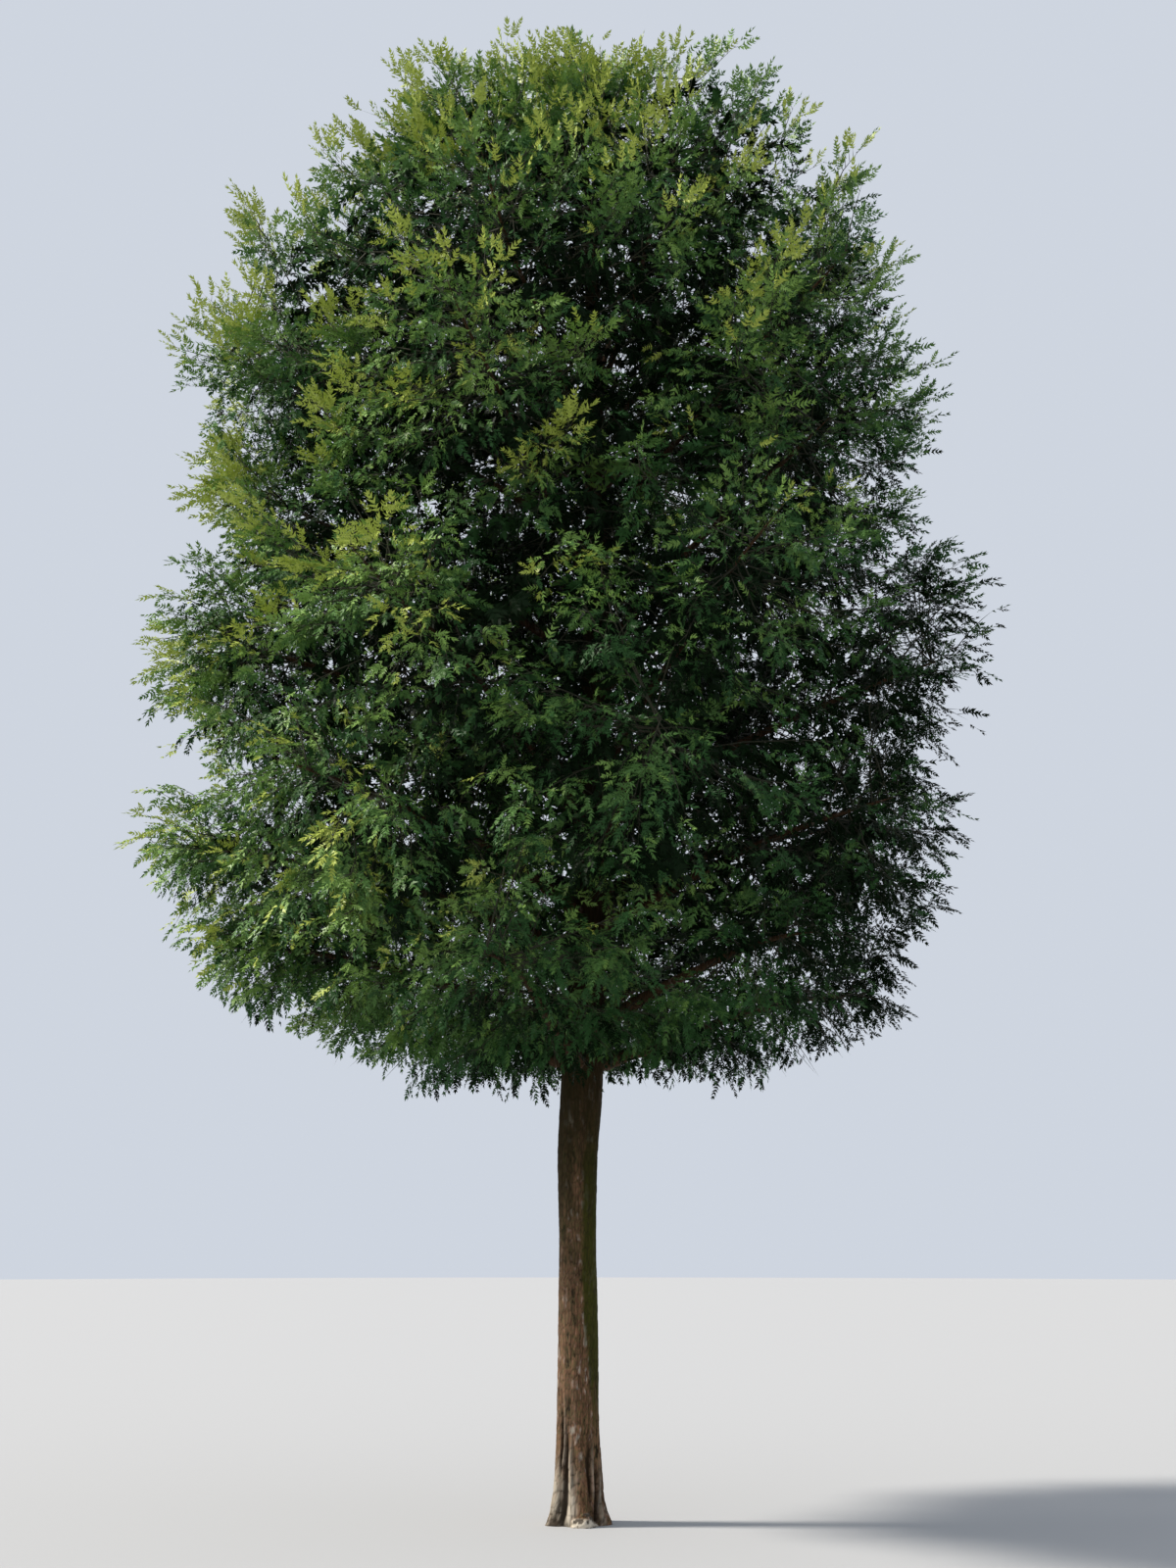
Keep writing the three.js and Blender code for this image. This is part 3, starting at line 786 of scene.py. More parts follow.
def grow_sprays(twigs, side, step, noise):
    """The sprays: their feet, headings, flat sides, lengths and what tints them."""
    counts = np.maximum(1, (0.86 * side["length"] / step).astype(int))
    rows, number, part = dealt(counts, noise)
    share = 0.10 + 0.86 * part / counts[rows]
    place, along = side_point(side, rows, share)
    plane = square(side["plane"][rows], along)
    twist = np.radians(noise.normal(0, 16 + 30 * side["plume"][rows]))
    plane = turned(plane, along, twist) * np.where(number % 2, 1, -1)[:, None]
    heading = leaned(along, plane, 48 - 12 * share + noise.uniform(-7, 7, len(rows)))
    length = SPRAY_LENGTH * (1 - 0.25 * share) * noise.uniform(0.78, 1.18, len(rows))
    length = np.minimum(length, 0.045 + 0.35 * side["length"][rows])

    # One straight on at each side twig's tip
    tips = np.arange(len(counts))
    tip_place, tip_along = side_point(side, tips, np.full(len(tips), 0.93))
    tip_plane = square(side["plane"], tip_along)
    tip_length = 1.15 * SPRAY_LENGTH * noise.uniform(0.8, 1.2, len(tips))

    # And one at each twig's
    ends = np.arange(len(twigs["length"]))
    end_along = twigs["headings"][:, -1]
    end_place = twigs["track"][:, -1] - 0.02 * end_along
    end_length = np.where(twigs["wood"], 0.12, 0.16) * noise.uniform(0.9, 1.15, len(ends))

    ones = np.ones(len(ends))
    groups = {
        "place": (place, tip_place, end_place),
        "heading": (heading, tip_along, end_along),
        "flat": (plane, tip_plane, level_side(end_along)),
        "length": (length, tip_length, end_length),
        "along_side": (share, np.ones(len(tips)), ones),
        "along_twig": (side["share"][rows], side["share"], ones),
        "owner": (side["owner"][rows], side["owner"], ends),
        "side": (rows, tips, np.full(len(ends), -1)),
        "outermost": (side["in_plume"][rows], side["in_plume"], ones > 0),
    }
    sprays = {name: np.concatenate(parts) for name, parts in groups.items()}
    sprays["limb"] = twigs["limb"][sprays["owner"]]
    # In a bunch the sprays turn away from its middle, and low in the crown they hang
    number, out = nearest_bunch(sprays["place"])
    middles, _, _, radius = make_bunches()
    away = (sprays["place"] - middles[number]) / radius[number][:, None]
    pull = 0.65 * (out < 1.3)[:, None] * away
    pull[:, 2] -= 0.40 * (1 - smooth(4.5, 7.5, sprays["place"][:, 2]))
    sprays["heading"] = unit(sprays["heading"] + pull)
    sprays["bunch"] = number
    sprays["bunch_out"] = out
    # How far a spray faces its bunch's sunny top, where the tints paint sunlight
    sprays["crest"] = np.clip(away @ SUNNY_CREST, -1, 1)
    sprays["flat"] = square(sprays["flat"], sprays["heading"])
    return sprays


def evened(groups, members, most, noise):
    """Drops members by chance from each group that has more of them than this."""
    counts = np.bincount(groups[members], minlength=groups.max() + 1)[groups]
    return ~members | (noise.uniform(0, 1, len(groups)) < most / np.maximum(counts, 1))


def kept_sprays(sprays, noise):
    """The sprays without those in the trunk, past the outline or where the sky shows."""
    place = sprays["place"]
    tip = place + sprays["heading"] * sprays["length"][:, None]
    from_trunk = place - trunk_centre(place[:, 2])
    clear = np.hypot(from_trunk[:, 0], from_trunk[:, 1]) > trunk_radius(place[:, 2]) + 0.03
    azimuth = np.arctan2(tip[:, 1], tip[:, 0])
    beyond = np.hypot(tip[:, 0], tip[:, 1]) - crown_reach(tip[:, 2], azimuth)
    low, high = (np.array(corner) for corner in CAD_BOX)
    room = BOX_SLACK * (high - low)
    boxed = np.all((tip > low - room) & (tip < high + room), axis=1)
    ragged = 0.10 * lumps(place, 0.35, 71)
    boxed &= (tip[:, 2] > CROWN_FOOT - 0.08 + ragged) & (tip[:, 2] < HEIGHT + 0.03)
    # Near the outline needles show one by one. Deep in the crown fewer sprays, each with larger
    # needles, hide as much
    depth = depth_inside(place)
    near = (depth < OUTER_PLUME_DEPTH) & sprays["outermost"]
    sprays["outer"] = (depth < OUTER_DEPTH) | near
    keep = clear & (beyond < OUTLINE_SLACK) & boxed
    keep &= (depth > CORE_DEPTH) | (sprays["bunch_out"] < BUNCH_SLACK)
    to_left = -place[:, 0] / np.maximum(0.5, np.hypot(place[:, 0], place[:, 1]))
    most = BUNCH_SPRAYS * (1 + LEFT_SPRAYS * np.clip(to_left, 0, 1) ** 2)
    keep &= evened(sprays["bunch"], keep & sprays["outer"], most, noise)
    cells = np.floor(place / CORE_CELL).astype(int) @ np.array([1, 100, 10000])
    _, cells = np.unique(cells, return_inverse=True)
    keep &= evened(cells, keep & ~sprays["outer"], CELL_SPRAYS, noise)
    across, down = seen_at(place)
    chance = np.ones(len(place))
    for left, top, right, bottom, share in THIN_PLACES:
        there = (across > left) & (across < right) & (down > top) & (down < bottom)
        chance[there] = share
    keep &= noise.uniform(0, 1, len(place)) < chance
    return {name: values[keep] for name, values in sprays.items()}


@functools.cache
def grow(twig_count, inner_count, side_step, spray_step):
    """Everything that grows on the limbs, the same in every run."""
    noise = np.random.default_rng(SEED)
    twigs = grow_twigs(twig_count, inner_count, noise)
    side = grow_side_twigs(twigs, side_step, noise)
    sprays = kept_sprays(grow_sprays(twigs, side, spray_step, noise), noise)
    # Twigs and side twigs that are left with too few sprays aren't drawn
    held = np.bincount(sprays["side"] + 1, minlength=len(side["length"]) + 1)[1:]
    side = {name: values[held >= SIDE_LEAST] for name, values in side.items()}
    held = np.bincount(sprays["owner"], minlength=len(twigs["wood"]))
    twigs["wood"] &= held >= TWIG_LEAST_SPRAYS
    return twigs, side, sprays


def grown():
    """The growth for the sizes set in the panel."""
    sizes = bpy.context.scene.yew_growth
    return grow(
        sizes.twig_count,
        sizes.inner_count,
        round(sizes.side_step, 4),
        round(sizes.spray_step, 4),
    )


def mesh_of(name, points, faces):
    """A mesh from arrays of points and of triangles."""
    mesh = bpy.data.meshes.new(name)
    mesh.vertices.add(len(points))
    mesh.vertices.foreach_set("co", np.ascontiguousarray(points, np.float32).ravel())
    mesh.loops.add(faces.size)
    mesh.loops.foreach_set("vertex_index", np.ascontiguousarray(faces, np.int32).ravel())
    mesh.polygons.add(len(faces))
    mesh.polygons.foreach_set("loop_start", np.arange(0, faces.size, 3, dtype=np.int32))
    mesh.update(calc_edges=True)
    mesh.validate()
    return mesh


def add_piece(name, mesh, material, nodes):
    """An object that rides on the tree's body and stands for CAD nodes."""
    piece = bpy.data.objects.new(name, mesh)
    mesh.materials.clear()
    mesh.materials.append(material)
    bpy.context.scene.collection.objects.link(piece)
    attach(piece, "root")
    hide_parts(*nodes)
    return piece


def add_node(tree, kind, inputs, **settings):
    """Adds a shader node with its settings. An input gets a value, or a link from an output."""
    node = tree.nodes.new(kind)
    for name, value in settings.items():
        setattr(node, name, value)
    for name, value in inputs.items():
        if isinstance(value, bpy.types.NodeSocket):
            tree.links.new(value, node.inputs[name])
        else:
            node.inputs[name].default_value = value
    return node


def new_material(name, settings):
    """A material with one Principled shader that has these settings, and its tree."""
    material = bpy.data.materials.new(name)
    material.use_nodes = True
    tree = material.node_tree
    shader = tree.nodes["Principled BSDF"]
    for setting, value in settings.items():
        shader.inputs[setting].default_value = value
    return material, tree, shader


def set_ramp(node, stops):
    """Sets a colour ramp's stops from places and linear colours, and returns its output."""
    ramp = node.color_ramp
    ramp.elements.remove(ramp.elements[-1])
    ramp.elements[0].position, ramp.elements[0].color = stops[0]
    for place, colour in stops[1:]:
        ramp.elements.new(place).color = colour
    return node.outputs["Color"]


def tube(sides, rows):
    """A closed upright tube of radius one from z = 0 to 1, as a mesh of points and triangles."""
    bm = bmesh.new()
    bmesh.ops.create_cone(
        bm, cap_ends=True, cap_tris=False, segments=sides, radius1=1, radius2=1, depth=1
    )
    bmesh.ops.translate(bm, vec=Vector((0, 0, 0.5)), verts=bm.verts)
    upright = [e for e in bm.edges if abs(e.verts[0].co.z - e.verts[1].co.z) > 0.5]
    bmesh.ops.subdivide_edges(bm, edges=upright, cuts=rows - 1, use_grid_fill=True)
    bmesh.ops.triangulate(bm, faces=bm.faces)
    bm.verts.index_update()
    points = np.array([vertex.co for vertex in bm.verts])
    faces = np.array([[vertex.index for vertex in face.verts] for face in bm.faces])
    bm.free()
    return points, faces


def plates(around, up, width, height, seed):
    """Bark plates on the unrolled bark: each point's own plate's number and its edge, 1 there."""
    columns = round(GIRTH / width)
    x = around / (2 * math.pi) * columns
    y = up / height
    best = np.full(len(x), 9.0)
    second = np.full(len(x), 9.0)
    own = np.zeros(len(x))
    for step_x in (-1, 0, 1):
        for step_y in (-1, 0, 1):
            cell_x = np.floor(x) + step_x
            cell_y = np.floor(y) + step_y
            wrapped = np.mod(cell_x, columns)
            middle_x = cell_x + 0.15 + 0.7 * hashed(wrapped, cell_y, seed)
            middle_y = cell_y + 0.1 + 0.8 * hashed(wrapped, cell_y, seed + 7)
            far = np.hypot(x - middle_x, y - middle_y)
            nearer = far < best
            second = np.where(nearer, best, np.minimum(second, far))
            own = np.where(nearer, hashed(wrapped, cell_y, seed + 13), own)
            best = np.minimum(best, far)
    return own, 1 - np.clip((second - best) / 0.22, 0, 1)


def colour(name, description, code):
    """A colour for the panel, from its sRGB hex value."""
    return FloatVectorProperty(
        name=name,
        description=description,
        subtype="COLOR",
        size=4,
        min=0,
        max=1,
        default=linear(code),
    )


def measure(name, description, default, least, most, unit="LENGTH"):
    """A number for the panel: a length in metres, or one of another unit."""
    return FloatProperty(
        name=name, description=description, default=default, min=least, max=most, unit=unit
    )


class YewBark(bpy.types.PropertyGroup):
    """Sizes and colours of the bark."""

    plate_width: measure("Plate width", "Width of a scale of bark", 0.019, 0.005, 0.2)
    plate_height: measure("Plate height", "Height of a scale of bark", 0.060, 0.02, 0.6)
    flake: measure("Flake depth", "How far a scale of bark stands out", 0.0030, 0.0, 0.02)
    flute: measure("Flute depth", "How deep the trunk's upright hollows are", 0.013, 0.0, 0.03)
    knob: measure("Knob", "How far the bare root at the foot stands out", 0.020, 0.0, 0.05)
    old: colour("Old bark", "Colour of the weathered grey-brown scales", "63563A")
    fresh: colour("Fresh bark", "Colour of the pinkish bark where scales have come away", "7B5843")
    dark: colour("Dark bark", "Colour of the cracks and of the purple-brown scales", "261D13")
    algae: colour("Algae", "Colour of the green film on the damp side", "333A0A")
    damp: colour("Damp bark", "Colour of the damp bark that stays in the crown's shade", "211C0C")
    bare: colour("Bare root", "Colour of the knob of root without bark at the foot", "C9BFAE")
    pale: colour("Pale bark", "Colour of the weathered beige scales", "A2998A")


class YewGrowth(bpy.types.PropertyGroup):
    """How densely twigs and sprays grow."""

    twig_count: IntProperty(
        name="Twigs per limb", description="Twigs on a limb's outer part", default=34, min=4, max=80
    )
    inner_count: IntProperty(
        name="Inner twigs", description="Short twigs nearer the trunk", default=13, min=0, max=60
    )
    side_step: measure("Side twig spacing", "Distance between side twigs", 0.042, 0.02, 0.5)
    spray_step: measure("Spray spacing", "Distance between sprays on a side twig", 0.030, 0.01, 0.3)
    twig_radius: measure("Twig radius", "Radius of the longest twig's root", 0.0075, 0.001, 0.05)


class YewNeedles(bpy.types.PropertyGroup):
    """Sizes and colours of the needles, which are larger than life and fewer."""

    length: measure("Needle length", "Length of an outer needle", 0.033, 0.01, 0.1)
    width: measure("Needle width", "Width of an outer needle", 0.015, 0.002, 0.05)
    inner_length: measure("Inner length", "Length of a needle deep inside", 0.062, 0.01, 0.1)
    inner_width: measure("Inner width", "Width of a needle deep inside", 0.032, 0.002, 0.05)
    fresh: colour("Fresh tips", "Colour of this year's tips in the light", "A2B04F")
    lit: colour("Outer needles", "Colour of the olive needles on the outside", "6F8F45")
    leafy: colour("Middle needles", "Colour of the leaf-green needles", "4C6E37")
    old: colour("Old needles", "Colour of last year's dark needles", "31532C")
    deep: colour("Inner needles", "Colour of the oldest needles in the shade", "10200E")


class YewStage(bpy.types.PropertyGroup):
    """The floor and the light."""

    floor_radius: measure("Floor radius", "Radius of the floor", 60.0, 5.0, 500.0)
    floor: colour("Floor", "Colour of the floor", "A9AAAB")
    sky: colour("Studio wall", "Colour of the light from all round", "D6DDE8")
    sky_strength: measure("Wall strength", "Light from all round", 0.92, 0.0, 20.0, "NONE")
    key_strength: measure("Key strength", "Light of the key lamp", 5.6, 0.0, 50.0, "NONE")
    key_angle: measure("Key width", "The key lamp's angle", KEY_WIDTH, 0.0, math.pi, "ROTATION")


# The bark's tones from the pattern's low values up, each with its colour's name
BARK_TONES = (
    (0.52, "dark"),
    (0.61, "old"),
    (0.69, "fresh"),
    (0.75, "old"),
    (0.81, "fresh"),
    (0.94, "pale"),
)
# Fibres, loose scales and patches: their size across and up in the bark, and their detail
BARK_GRAINS = ((0.010, 0.07, 3.0), (0.024, 0.055, 4.0), (0.08, 0.24, 4.0))
# Films over the trunk's bark: the attribute that says how much, and the colour's name
FILMS = (
    # Partly painted sunlight on the left roots
    ("weathered", "pale"),
    # The knob's bare root, and a painted highlight on the ridges beside the slits
    ("bare", "bare"),
    ("algae", "algae"),
    # Dark cracks between plates, and partly painted shade in the furrows, wrinkles and slits
    ("edge", "dark"),
    # Partly painted shade under the crown
    ("damp", "damp"),
)


def bark_material(name, settings, attributes, shade):
    """Yew bark: thin scales that come away in strips, dull, red-brown under grey-brown.

    It gives the eye upright streaks and patches of pink and purple between grey scales. The
    scales and fibres are drawn as coarse as they need to be to show.
    """
    material, tree, shader = new_material(
        name, {"Roughness": 0.88, "IOR": 1.45, "Specular IOR Level": 0.1}
    )
    place = add_node(tree, "ShaderNodeTexCoord", {}).outputs["Object"]
    noises = []
    for across, up, detail in BARK_GRAINS:
        stretch = {"Vector": place, "Scale": (1 / across, 1 / across, 1 / up)}
        stretched = add_node(tree, "ShaderNodeMapping", stretch).outputs["Vector"]
        grain = {"Vector": stretched, "Scale": 1.0, "Detail": detail}
        noises.append(add_node(tree, "ShaderNodeTexNoise", grain).outputs["Fac"])
    fibres, scales, patches = noises
    # Scales shift the patches' tone most, and each plate's own tone shifts it a little
    plate = fibres
    if attributes:
        plate = add_node(tree, "ShaderNodeAttribute", {}, attribute_name="plate").outputs["Fac"]
    tone = add_node(tree, "ShaderNodeMath", {0: patches, 1: 0.55}, operation="MULTIPLY")
    for share, part in ((0.70, scales), (0.22, plate)):
        sums = {0: part, 1: share, 2: tone.outputs[0]}
        tone = add_node(tree, "ShaderNodeMath", sums, operation="MULTIPLY_ADD")
    stops = [(at, getattr(settings, name)) for at, name in BARK_TONES]
    base = set_ramp(add_node(tree, "ShaderNodeValToRGB", {"Fac": tone.outputs[0]}), stops)
    streaks = set_ramp(
        add_node(tree, "ShaderNodeValToRGB", {"Fac": fibres}),
        [(0.32, (0.30, 0.26, 0.24, 1)), (0.50, (0.9, 0.9, 0.9, 1)), (0.68, (1.25, 1.2, 1.15, 1))],
    )
    # Over the scales: how each layer is laid on, how much of it, and its colour
    layers = [("MULTIPLY", 0.85, streaks)]
    if attributes:
        layers += [("MIX", film, getattr(settings, name)) for film, name in FILMS]
    # Last, all of it is darkened by the painted shade that is given
    for blend, amount, layer in (*layers, ("MULTIPLY", 1.0, (shade, shade, shade, 1))):
        if isinstance(amount, str):
            amount = add_node(tree, "ShaderNodeAttribute", {}, attribute_name=amount).outputs["Fac"]
        mix = {0: amount, 6: base, 7: layer}
        mixed = add_node(tree, "ShaderNodeMix", mix, data_type="RGBA", blend_type=blend)
        base = mixed.outputs[2]
    tree.links.new(base, shader.inputs["Base Color"])
    height = {"Strength": 0.6, "Distance": 0.003, "Height": fibres}
    bump = add_node(tree, "ShaderNodeBump", height)
    tree.links.new(bump.outputs[0], shader.inputs["Normal"])
    return material


class YEW_OT_trunk(bpy.types.Operator):
    """Build the trunk: its taper, root flare, flutes and scales of bark"""

    bl_idname = "yew.trunk"
    bl_label = "Trunk"

    def execute(self, context):
        bark = context.scene.yew_bark
        points, faces = tube(sides=160, rows=420)
        turn = np.arctan2(points[:, 1], points[:, 0])
        # Close rows up to the crown, where the bark shows, and open ones above it
        height = np.interp(points[:, 2], (0, SHOWN_ROWS, 1), (0, SHOWN_BARK, TRUNK_TOP))
        fade = LOBE_DEPTH * np.exp(-height / LOBE_FADE)
        lobed = 1 + fade * np.cos(ROOT_LOBES * turn + LOBE_TURN)
        radius = trunk_radius(height) * lobed
        spokes = np.stack([np.cos(turn), np.sin(turn)], axis=1)
        skin = np.column_stack([spokes * trunk_radius(height)[:, None], height])
        # Upright furrows run up from the roots between rounded ridges and fade with height
        across = 0.4 + 0.6 * np.exp(-height / 0.35)
        ridges = lumps(skin * np.array([1, 1, 0.1]) + 5, 0.060, 3)
        furrow = (1 - np.minimum(1, np.abs(ridges) / 0.34)) ** 1.2
        low = 0.22 + 0.78 * np.exp(-height / 0.40)
        relief = bark.flute * low * (0.6 * np.abs(ridges) - 1.0 * furrow * across)
        relief += 0.35 * bark.flute * lumps(skin + 3, (0.10, 0.10, 0.30), 8)
        # The deepest furrows: slits at the front that fade upwards, painted dark as their shade,
        # each beside a ridge painted pale as its highlight
        wavy = turn + math.pi / 2 + 0.12 * lumps(skin, (0.08, 0.08, 0.16), 12)
        slit = np.zeros(len(turn))
        ridge = np.zeros(len(turn))
        for at, wide, low_end, high_end in SLITS:
            upright = smooth(low_end - 0.04, low_end + 0.04, height)
            upright = upright * (1 - smooth(0.6 * high_end, 1.1 * high_end, height))
            slit = np.maximum(slit, upright * np.exp(-(((wavy - at) / wide) ** 2)))
            ridge = np.maximum(ridge, upright * np.exp(-(((wavy - at - 2.3 * wide) / wide) ** 2)))
        relief += bark.flute * (0.8 * ridge - 1.5 * slit)
        wrinkles = np.abs(lumps(skin * np.array([1, 1, 0.16]) + 8, 0.030, 4))
        wrinkle = (1 - np.minimum(1, wrinkles / 0.35)) ** 1.3
        wrinkle = wrinkle * (0.35 + 0.65 * np.exp(-height / 0.4))
        bent = turn + 0.10 * lumps(skin, (0.08, 0.08, 0.2), 21)
        rise = height + 0.03 * lumps(skin + 9, (0.05, 0.05, 0.1), 22)
        bent = np.mod(bent, 2 * math.pi)
        own, edge = plates(bent, rise, bark.plate_width, bark.plate_height, seed=4)
        relief += bark.flake * (own - 0.5) - 0.6 * bark.flake * edge
        relief *= np.clip(radius / 0.09, 0.1, 1)
        # A knob of bare pale root at the front of the foot
        ahead = (turn + math.pi / 2 - 0.30) / 0.50
        uneven = lumps(skin, 0.025, 61)
        knob = np.clip(1 - ahead**2 - (height / 0.065) ** 2 + 1.1 * uneven, 0, 1)
        pits = lumps(skin + 4, 0.016, 62)
        relief += bark.knob * np.sqrt(knob) * (0.8 + 0.5 * uneven + 0.3 * pits)
        wall = np.hypot(points[:, 0], points[:, 1]) > 0.5
        radius = np.where(wall, np.maximum(radius + relief, 0.008), radius)
        middle = trunk_centre(height)
        place = middle + np.column_stack([spokes * radius[:, None], np.zeros(len(turn))])
        mesh = mesh_of("trunk_bark", place, faces)
        rough = lumps(skin + 2, (0.03, 0.03, 0.12), 31)
        # Algae: a band up the right, widest at 1.5 m
        side = 0.84 - 0.36 * smooth(0.6, 1.5, height) + 0.12 * smooth(1.6, 2.2, height)
        right = smooth(side - 0.06, side + 0.14, np.cos(turn + 0.35) + 0.10 * rough)
        band = smooth(0.45, 0.75, height + 0.1 * rough) * (1 - smooth(1.9, 2.5, height))
        # Weathered pale bark on the left roots, partly painted sunlight on that side, and the knob
        left = smooth(0.2, 0.9, np.cos(turn - 3.6) + 0.3 * rough)
        weathered = 0.06 + 0.95 * (1 - smooth(0.12, 0.45, height + 0.1 * rough))
        weathered = left * weathered * (0.6 + 0.7 * own)
        # Darker up towards the crown: damp bark and painted shade under the crown
        damp = 0.86 * smooth(1.40, 2.40, height + 0.12 * rough)
        # Dark film: cracks between plates, painted shade in the furrows, wrinkles and slits, and
        # painted shade on the left above the foot
        cracks_and_shade = 0.45 * edge + 0.65 * furrow * low + 0.6 * wrinkle + 1.1 * slit
        cracks_and_shade += 0.22 * left * smooth(0.45, 0.75, height)
        # On the knob, dark only in its dents
        cracks_and_shade = np.where(knob > 0, 0.85 * (pits < -0.22), cracks_and_shade)
        lichen = 0.4 * left * smooth(1.2, 1.7, height + 0.2 * rough)
        for name, values in {
            "damp": damp,
            "plate": 0.6 * own + 0.2 + 0.25 * rough,
            "edge": np.clip(cracks_and_shade, 0, 0.92),
            "algae": np.maximum(0.88 * right * band, lichen),
            "weathered": np.clip(weathered, 0, 0.95),
            # The knob's bare root, and a painted highlight on the ridges beside the slits
            "bare": np.clip(3.0 * knob + 0.35 * ridge, 0, 0.95),
        }.items():
            # A number for each point, for the material to read
            attribute = mesh.attributes.new(name, "FLOAT", "POINT")
            attribute.data.foreach_set("value", np.asarray(values, np.float32))
        material = bark_material("yew_trunk_bark", bark, True, 1.0)
        add_piece("yew_trunk", mesh, material, ["trunk"])
        return {"FINISHED"}


class YEW_OT_boughs(bpy.types.Operator):
    """Build the boughs and stems, each on its curve from the trunk to near its tip"""

    bl_idname = "yew.boughs"
    bl_label = "Boughs"

    def execute(self, context):
        template, faces = tube(sides=10, rows=56)
        all_points = []
        all_faces = []
        for index, limb in enumerate(make_limbs()):
            shares = np.linspace(0, 0.4, 81)
            axis = limb.point(shares) - trunk_centre(limb.point(shares)[:, 2])
            buried = np.hypot(axis[:, 0], axis[:, 1]) < 0.7 * limb.root_radius / BOUGH_SHARE
            start = 0 if limb.leader else shares[int(np.argmin(buried))]
            # The wood ends under the needles
            ends = np.linspace(0.5, 0.97, 48)
            end = ends[beyond_growth(limb.point(ends)) < -0.03].max(initial=0.6)
            share = start + (end - start) * template[:, 2]
            heading = limb.tangent(share)
            side = level_side(heading)
            back = np.cross(side, heading)
            turn = np.arctan2(template[:, 1], template[:, 0])
            spoke = side * np.cos(turn)[:, None] - back * np.sin(turn)[:, None]
            radius = limb.radius(share) * np.clip(12 * (1 - template[:, 2]), 0.3, 1)
            middle = limb.point(share)
            skin = middle + spoke * radius[:, None]
            radius = radius * (1 + 0.16 * lumps(skin + index, (0.02, 0.02, 0.05), 51))
            bow = 0.012 * np.sin(share * 11 + index)[:, None] * side
            bow = bow * np.clip(share * 4, 0, 1)[:, None] * np.clip((1 - share) * 4, 0, 1)[:, None]
            all_points.append(middle + bow + spoke * radius[:, None])
            all_faces.append(faces + index * len(template))
        mesh = mesh_of("bough_bark", np.concatenate(all_points), np.concatenate(all_faces))
        # The boughs' bark is painted darker, at 0.35, as the crown's shade on them
        material = bark_material("yew_bough_bark", context.scene.yew_bark, False, 0.35)
        add_piece("yew_boughs", mesh, material, BOUGH_NODES)
        return {"FINISHED"}


def pointed_tubes(tracks, headings, radii, sides=3):
    """Few-sided tubes along rows of points, each drawn to a point at its end."""
    count, rings, _ = tracks.shape
    level = level_side(headings.reshape(-1, 3)).reshape(headings.shape)
    back = np.cross(level, headings)
    turn = 2 * math.pi * np.arange(sides) / sides
    spoke = level[:, :, None] * np.cos(turn)[:, None] + back[:, :, None] * np.sin(turn)[:, None]
    skin = tracks[:, :-1, None] + spoke[:, :-1] * radii[:, :-1, None, None]
    points = np.concatenate([skin.reshape(count, -1, 3), tracks[:, -1:]], axis=1)
    each = points.shape[1]
    faces = []
    for ring in range(rings - 1):
        for k in range(sides):
            a = ring * sides + k
            b = ring * sides + (k + 1) % sides
            if ring == rings - 2:
                faces.append((a, b, each - 1))
            else:
                faces += [(a, b, b + sides), (a, b + sides, a + sides)]
    faces = np.array(faces)[None] + each * np.arange(count)[:, None, None]
    return points.reshape(-1, 3), faces.reshape(-1, 3)


class YEW_OT_twigs(bpy.types.Operator):
    """Build the twigs and side twigs that carry the sprays"""

    bl_idname = "yew.twigs"
    bl_label = "Twigs"

    def execute(self, context):
        twigs, side, _ = grown()
        thick = context.scene.yew_growth.twig_radius
        wood = twigs["wood"]
        track, heading = (twigs[name][wood][:, ::2] for name in ("track", "headings"))
        root = thick * (0.45 + 0.55 * twigs["length"][wood] / TWIG_WIDE)
        radii = root[:, None] * np.linspace(1, 0.3, track.shape[1])
        points, faces = pointed_tubes(track, heading, radii)
        # Side twigs are straight, and those that end outside the bunches are left out
        rows = np.arange(len(side["length"]))
        ends = [side_point(side, rows, np.full(len(rows), share)) for share in (0, 0.95)]
        track, heading = (np.stack(part, axis=1) for part in zip(*ends))
        keep = beyond_growth(track[:, -1]) < 0.03
        radii = (0.0018 + 0.006 * side["length"])[keep, None] * np.ones(2)
        side_points, side_faces = pointed_tubes(track[keep], heading[keep], radii)
        faces = np.concatenate([faces, side_faces + len(points)])
        mesh = mesh_of("twig_wood", np.concatenate([points, side_points]), faces)
        # Young yew twigs: smooth thin bark, olive-brown and dull. They give the eye dark lines
        # between the sprays
        material, _, _ = new_material(
            "yew_twig_bark",
            {"Base Color": linear(TWIG_COLOUR), "Roughness": 0.8, "IOR": 1.45},
        )
        add_piece("yew_twigs", mesh, material, FOLIAGE_NODES)
        return {"FINISHED"}


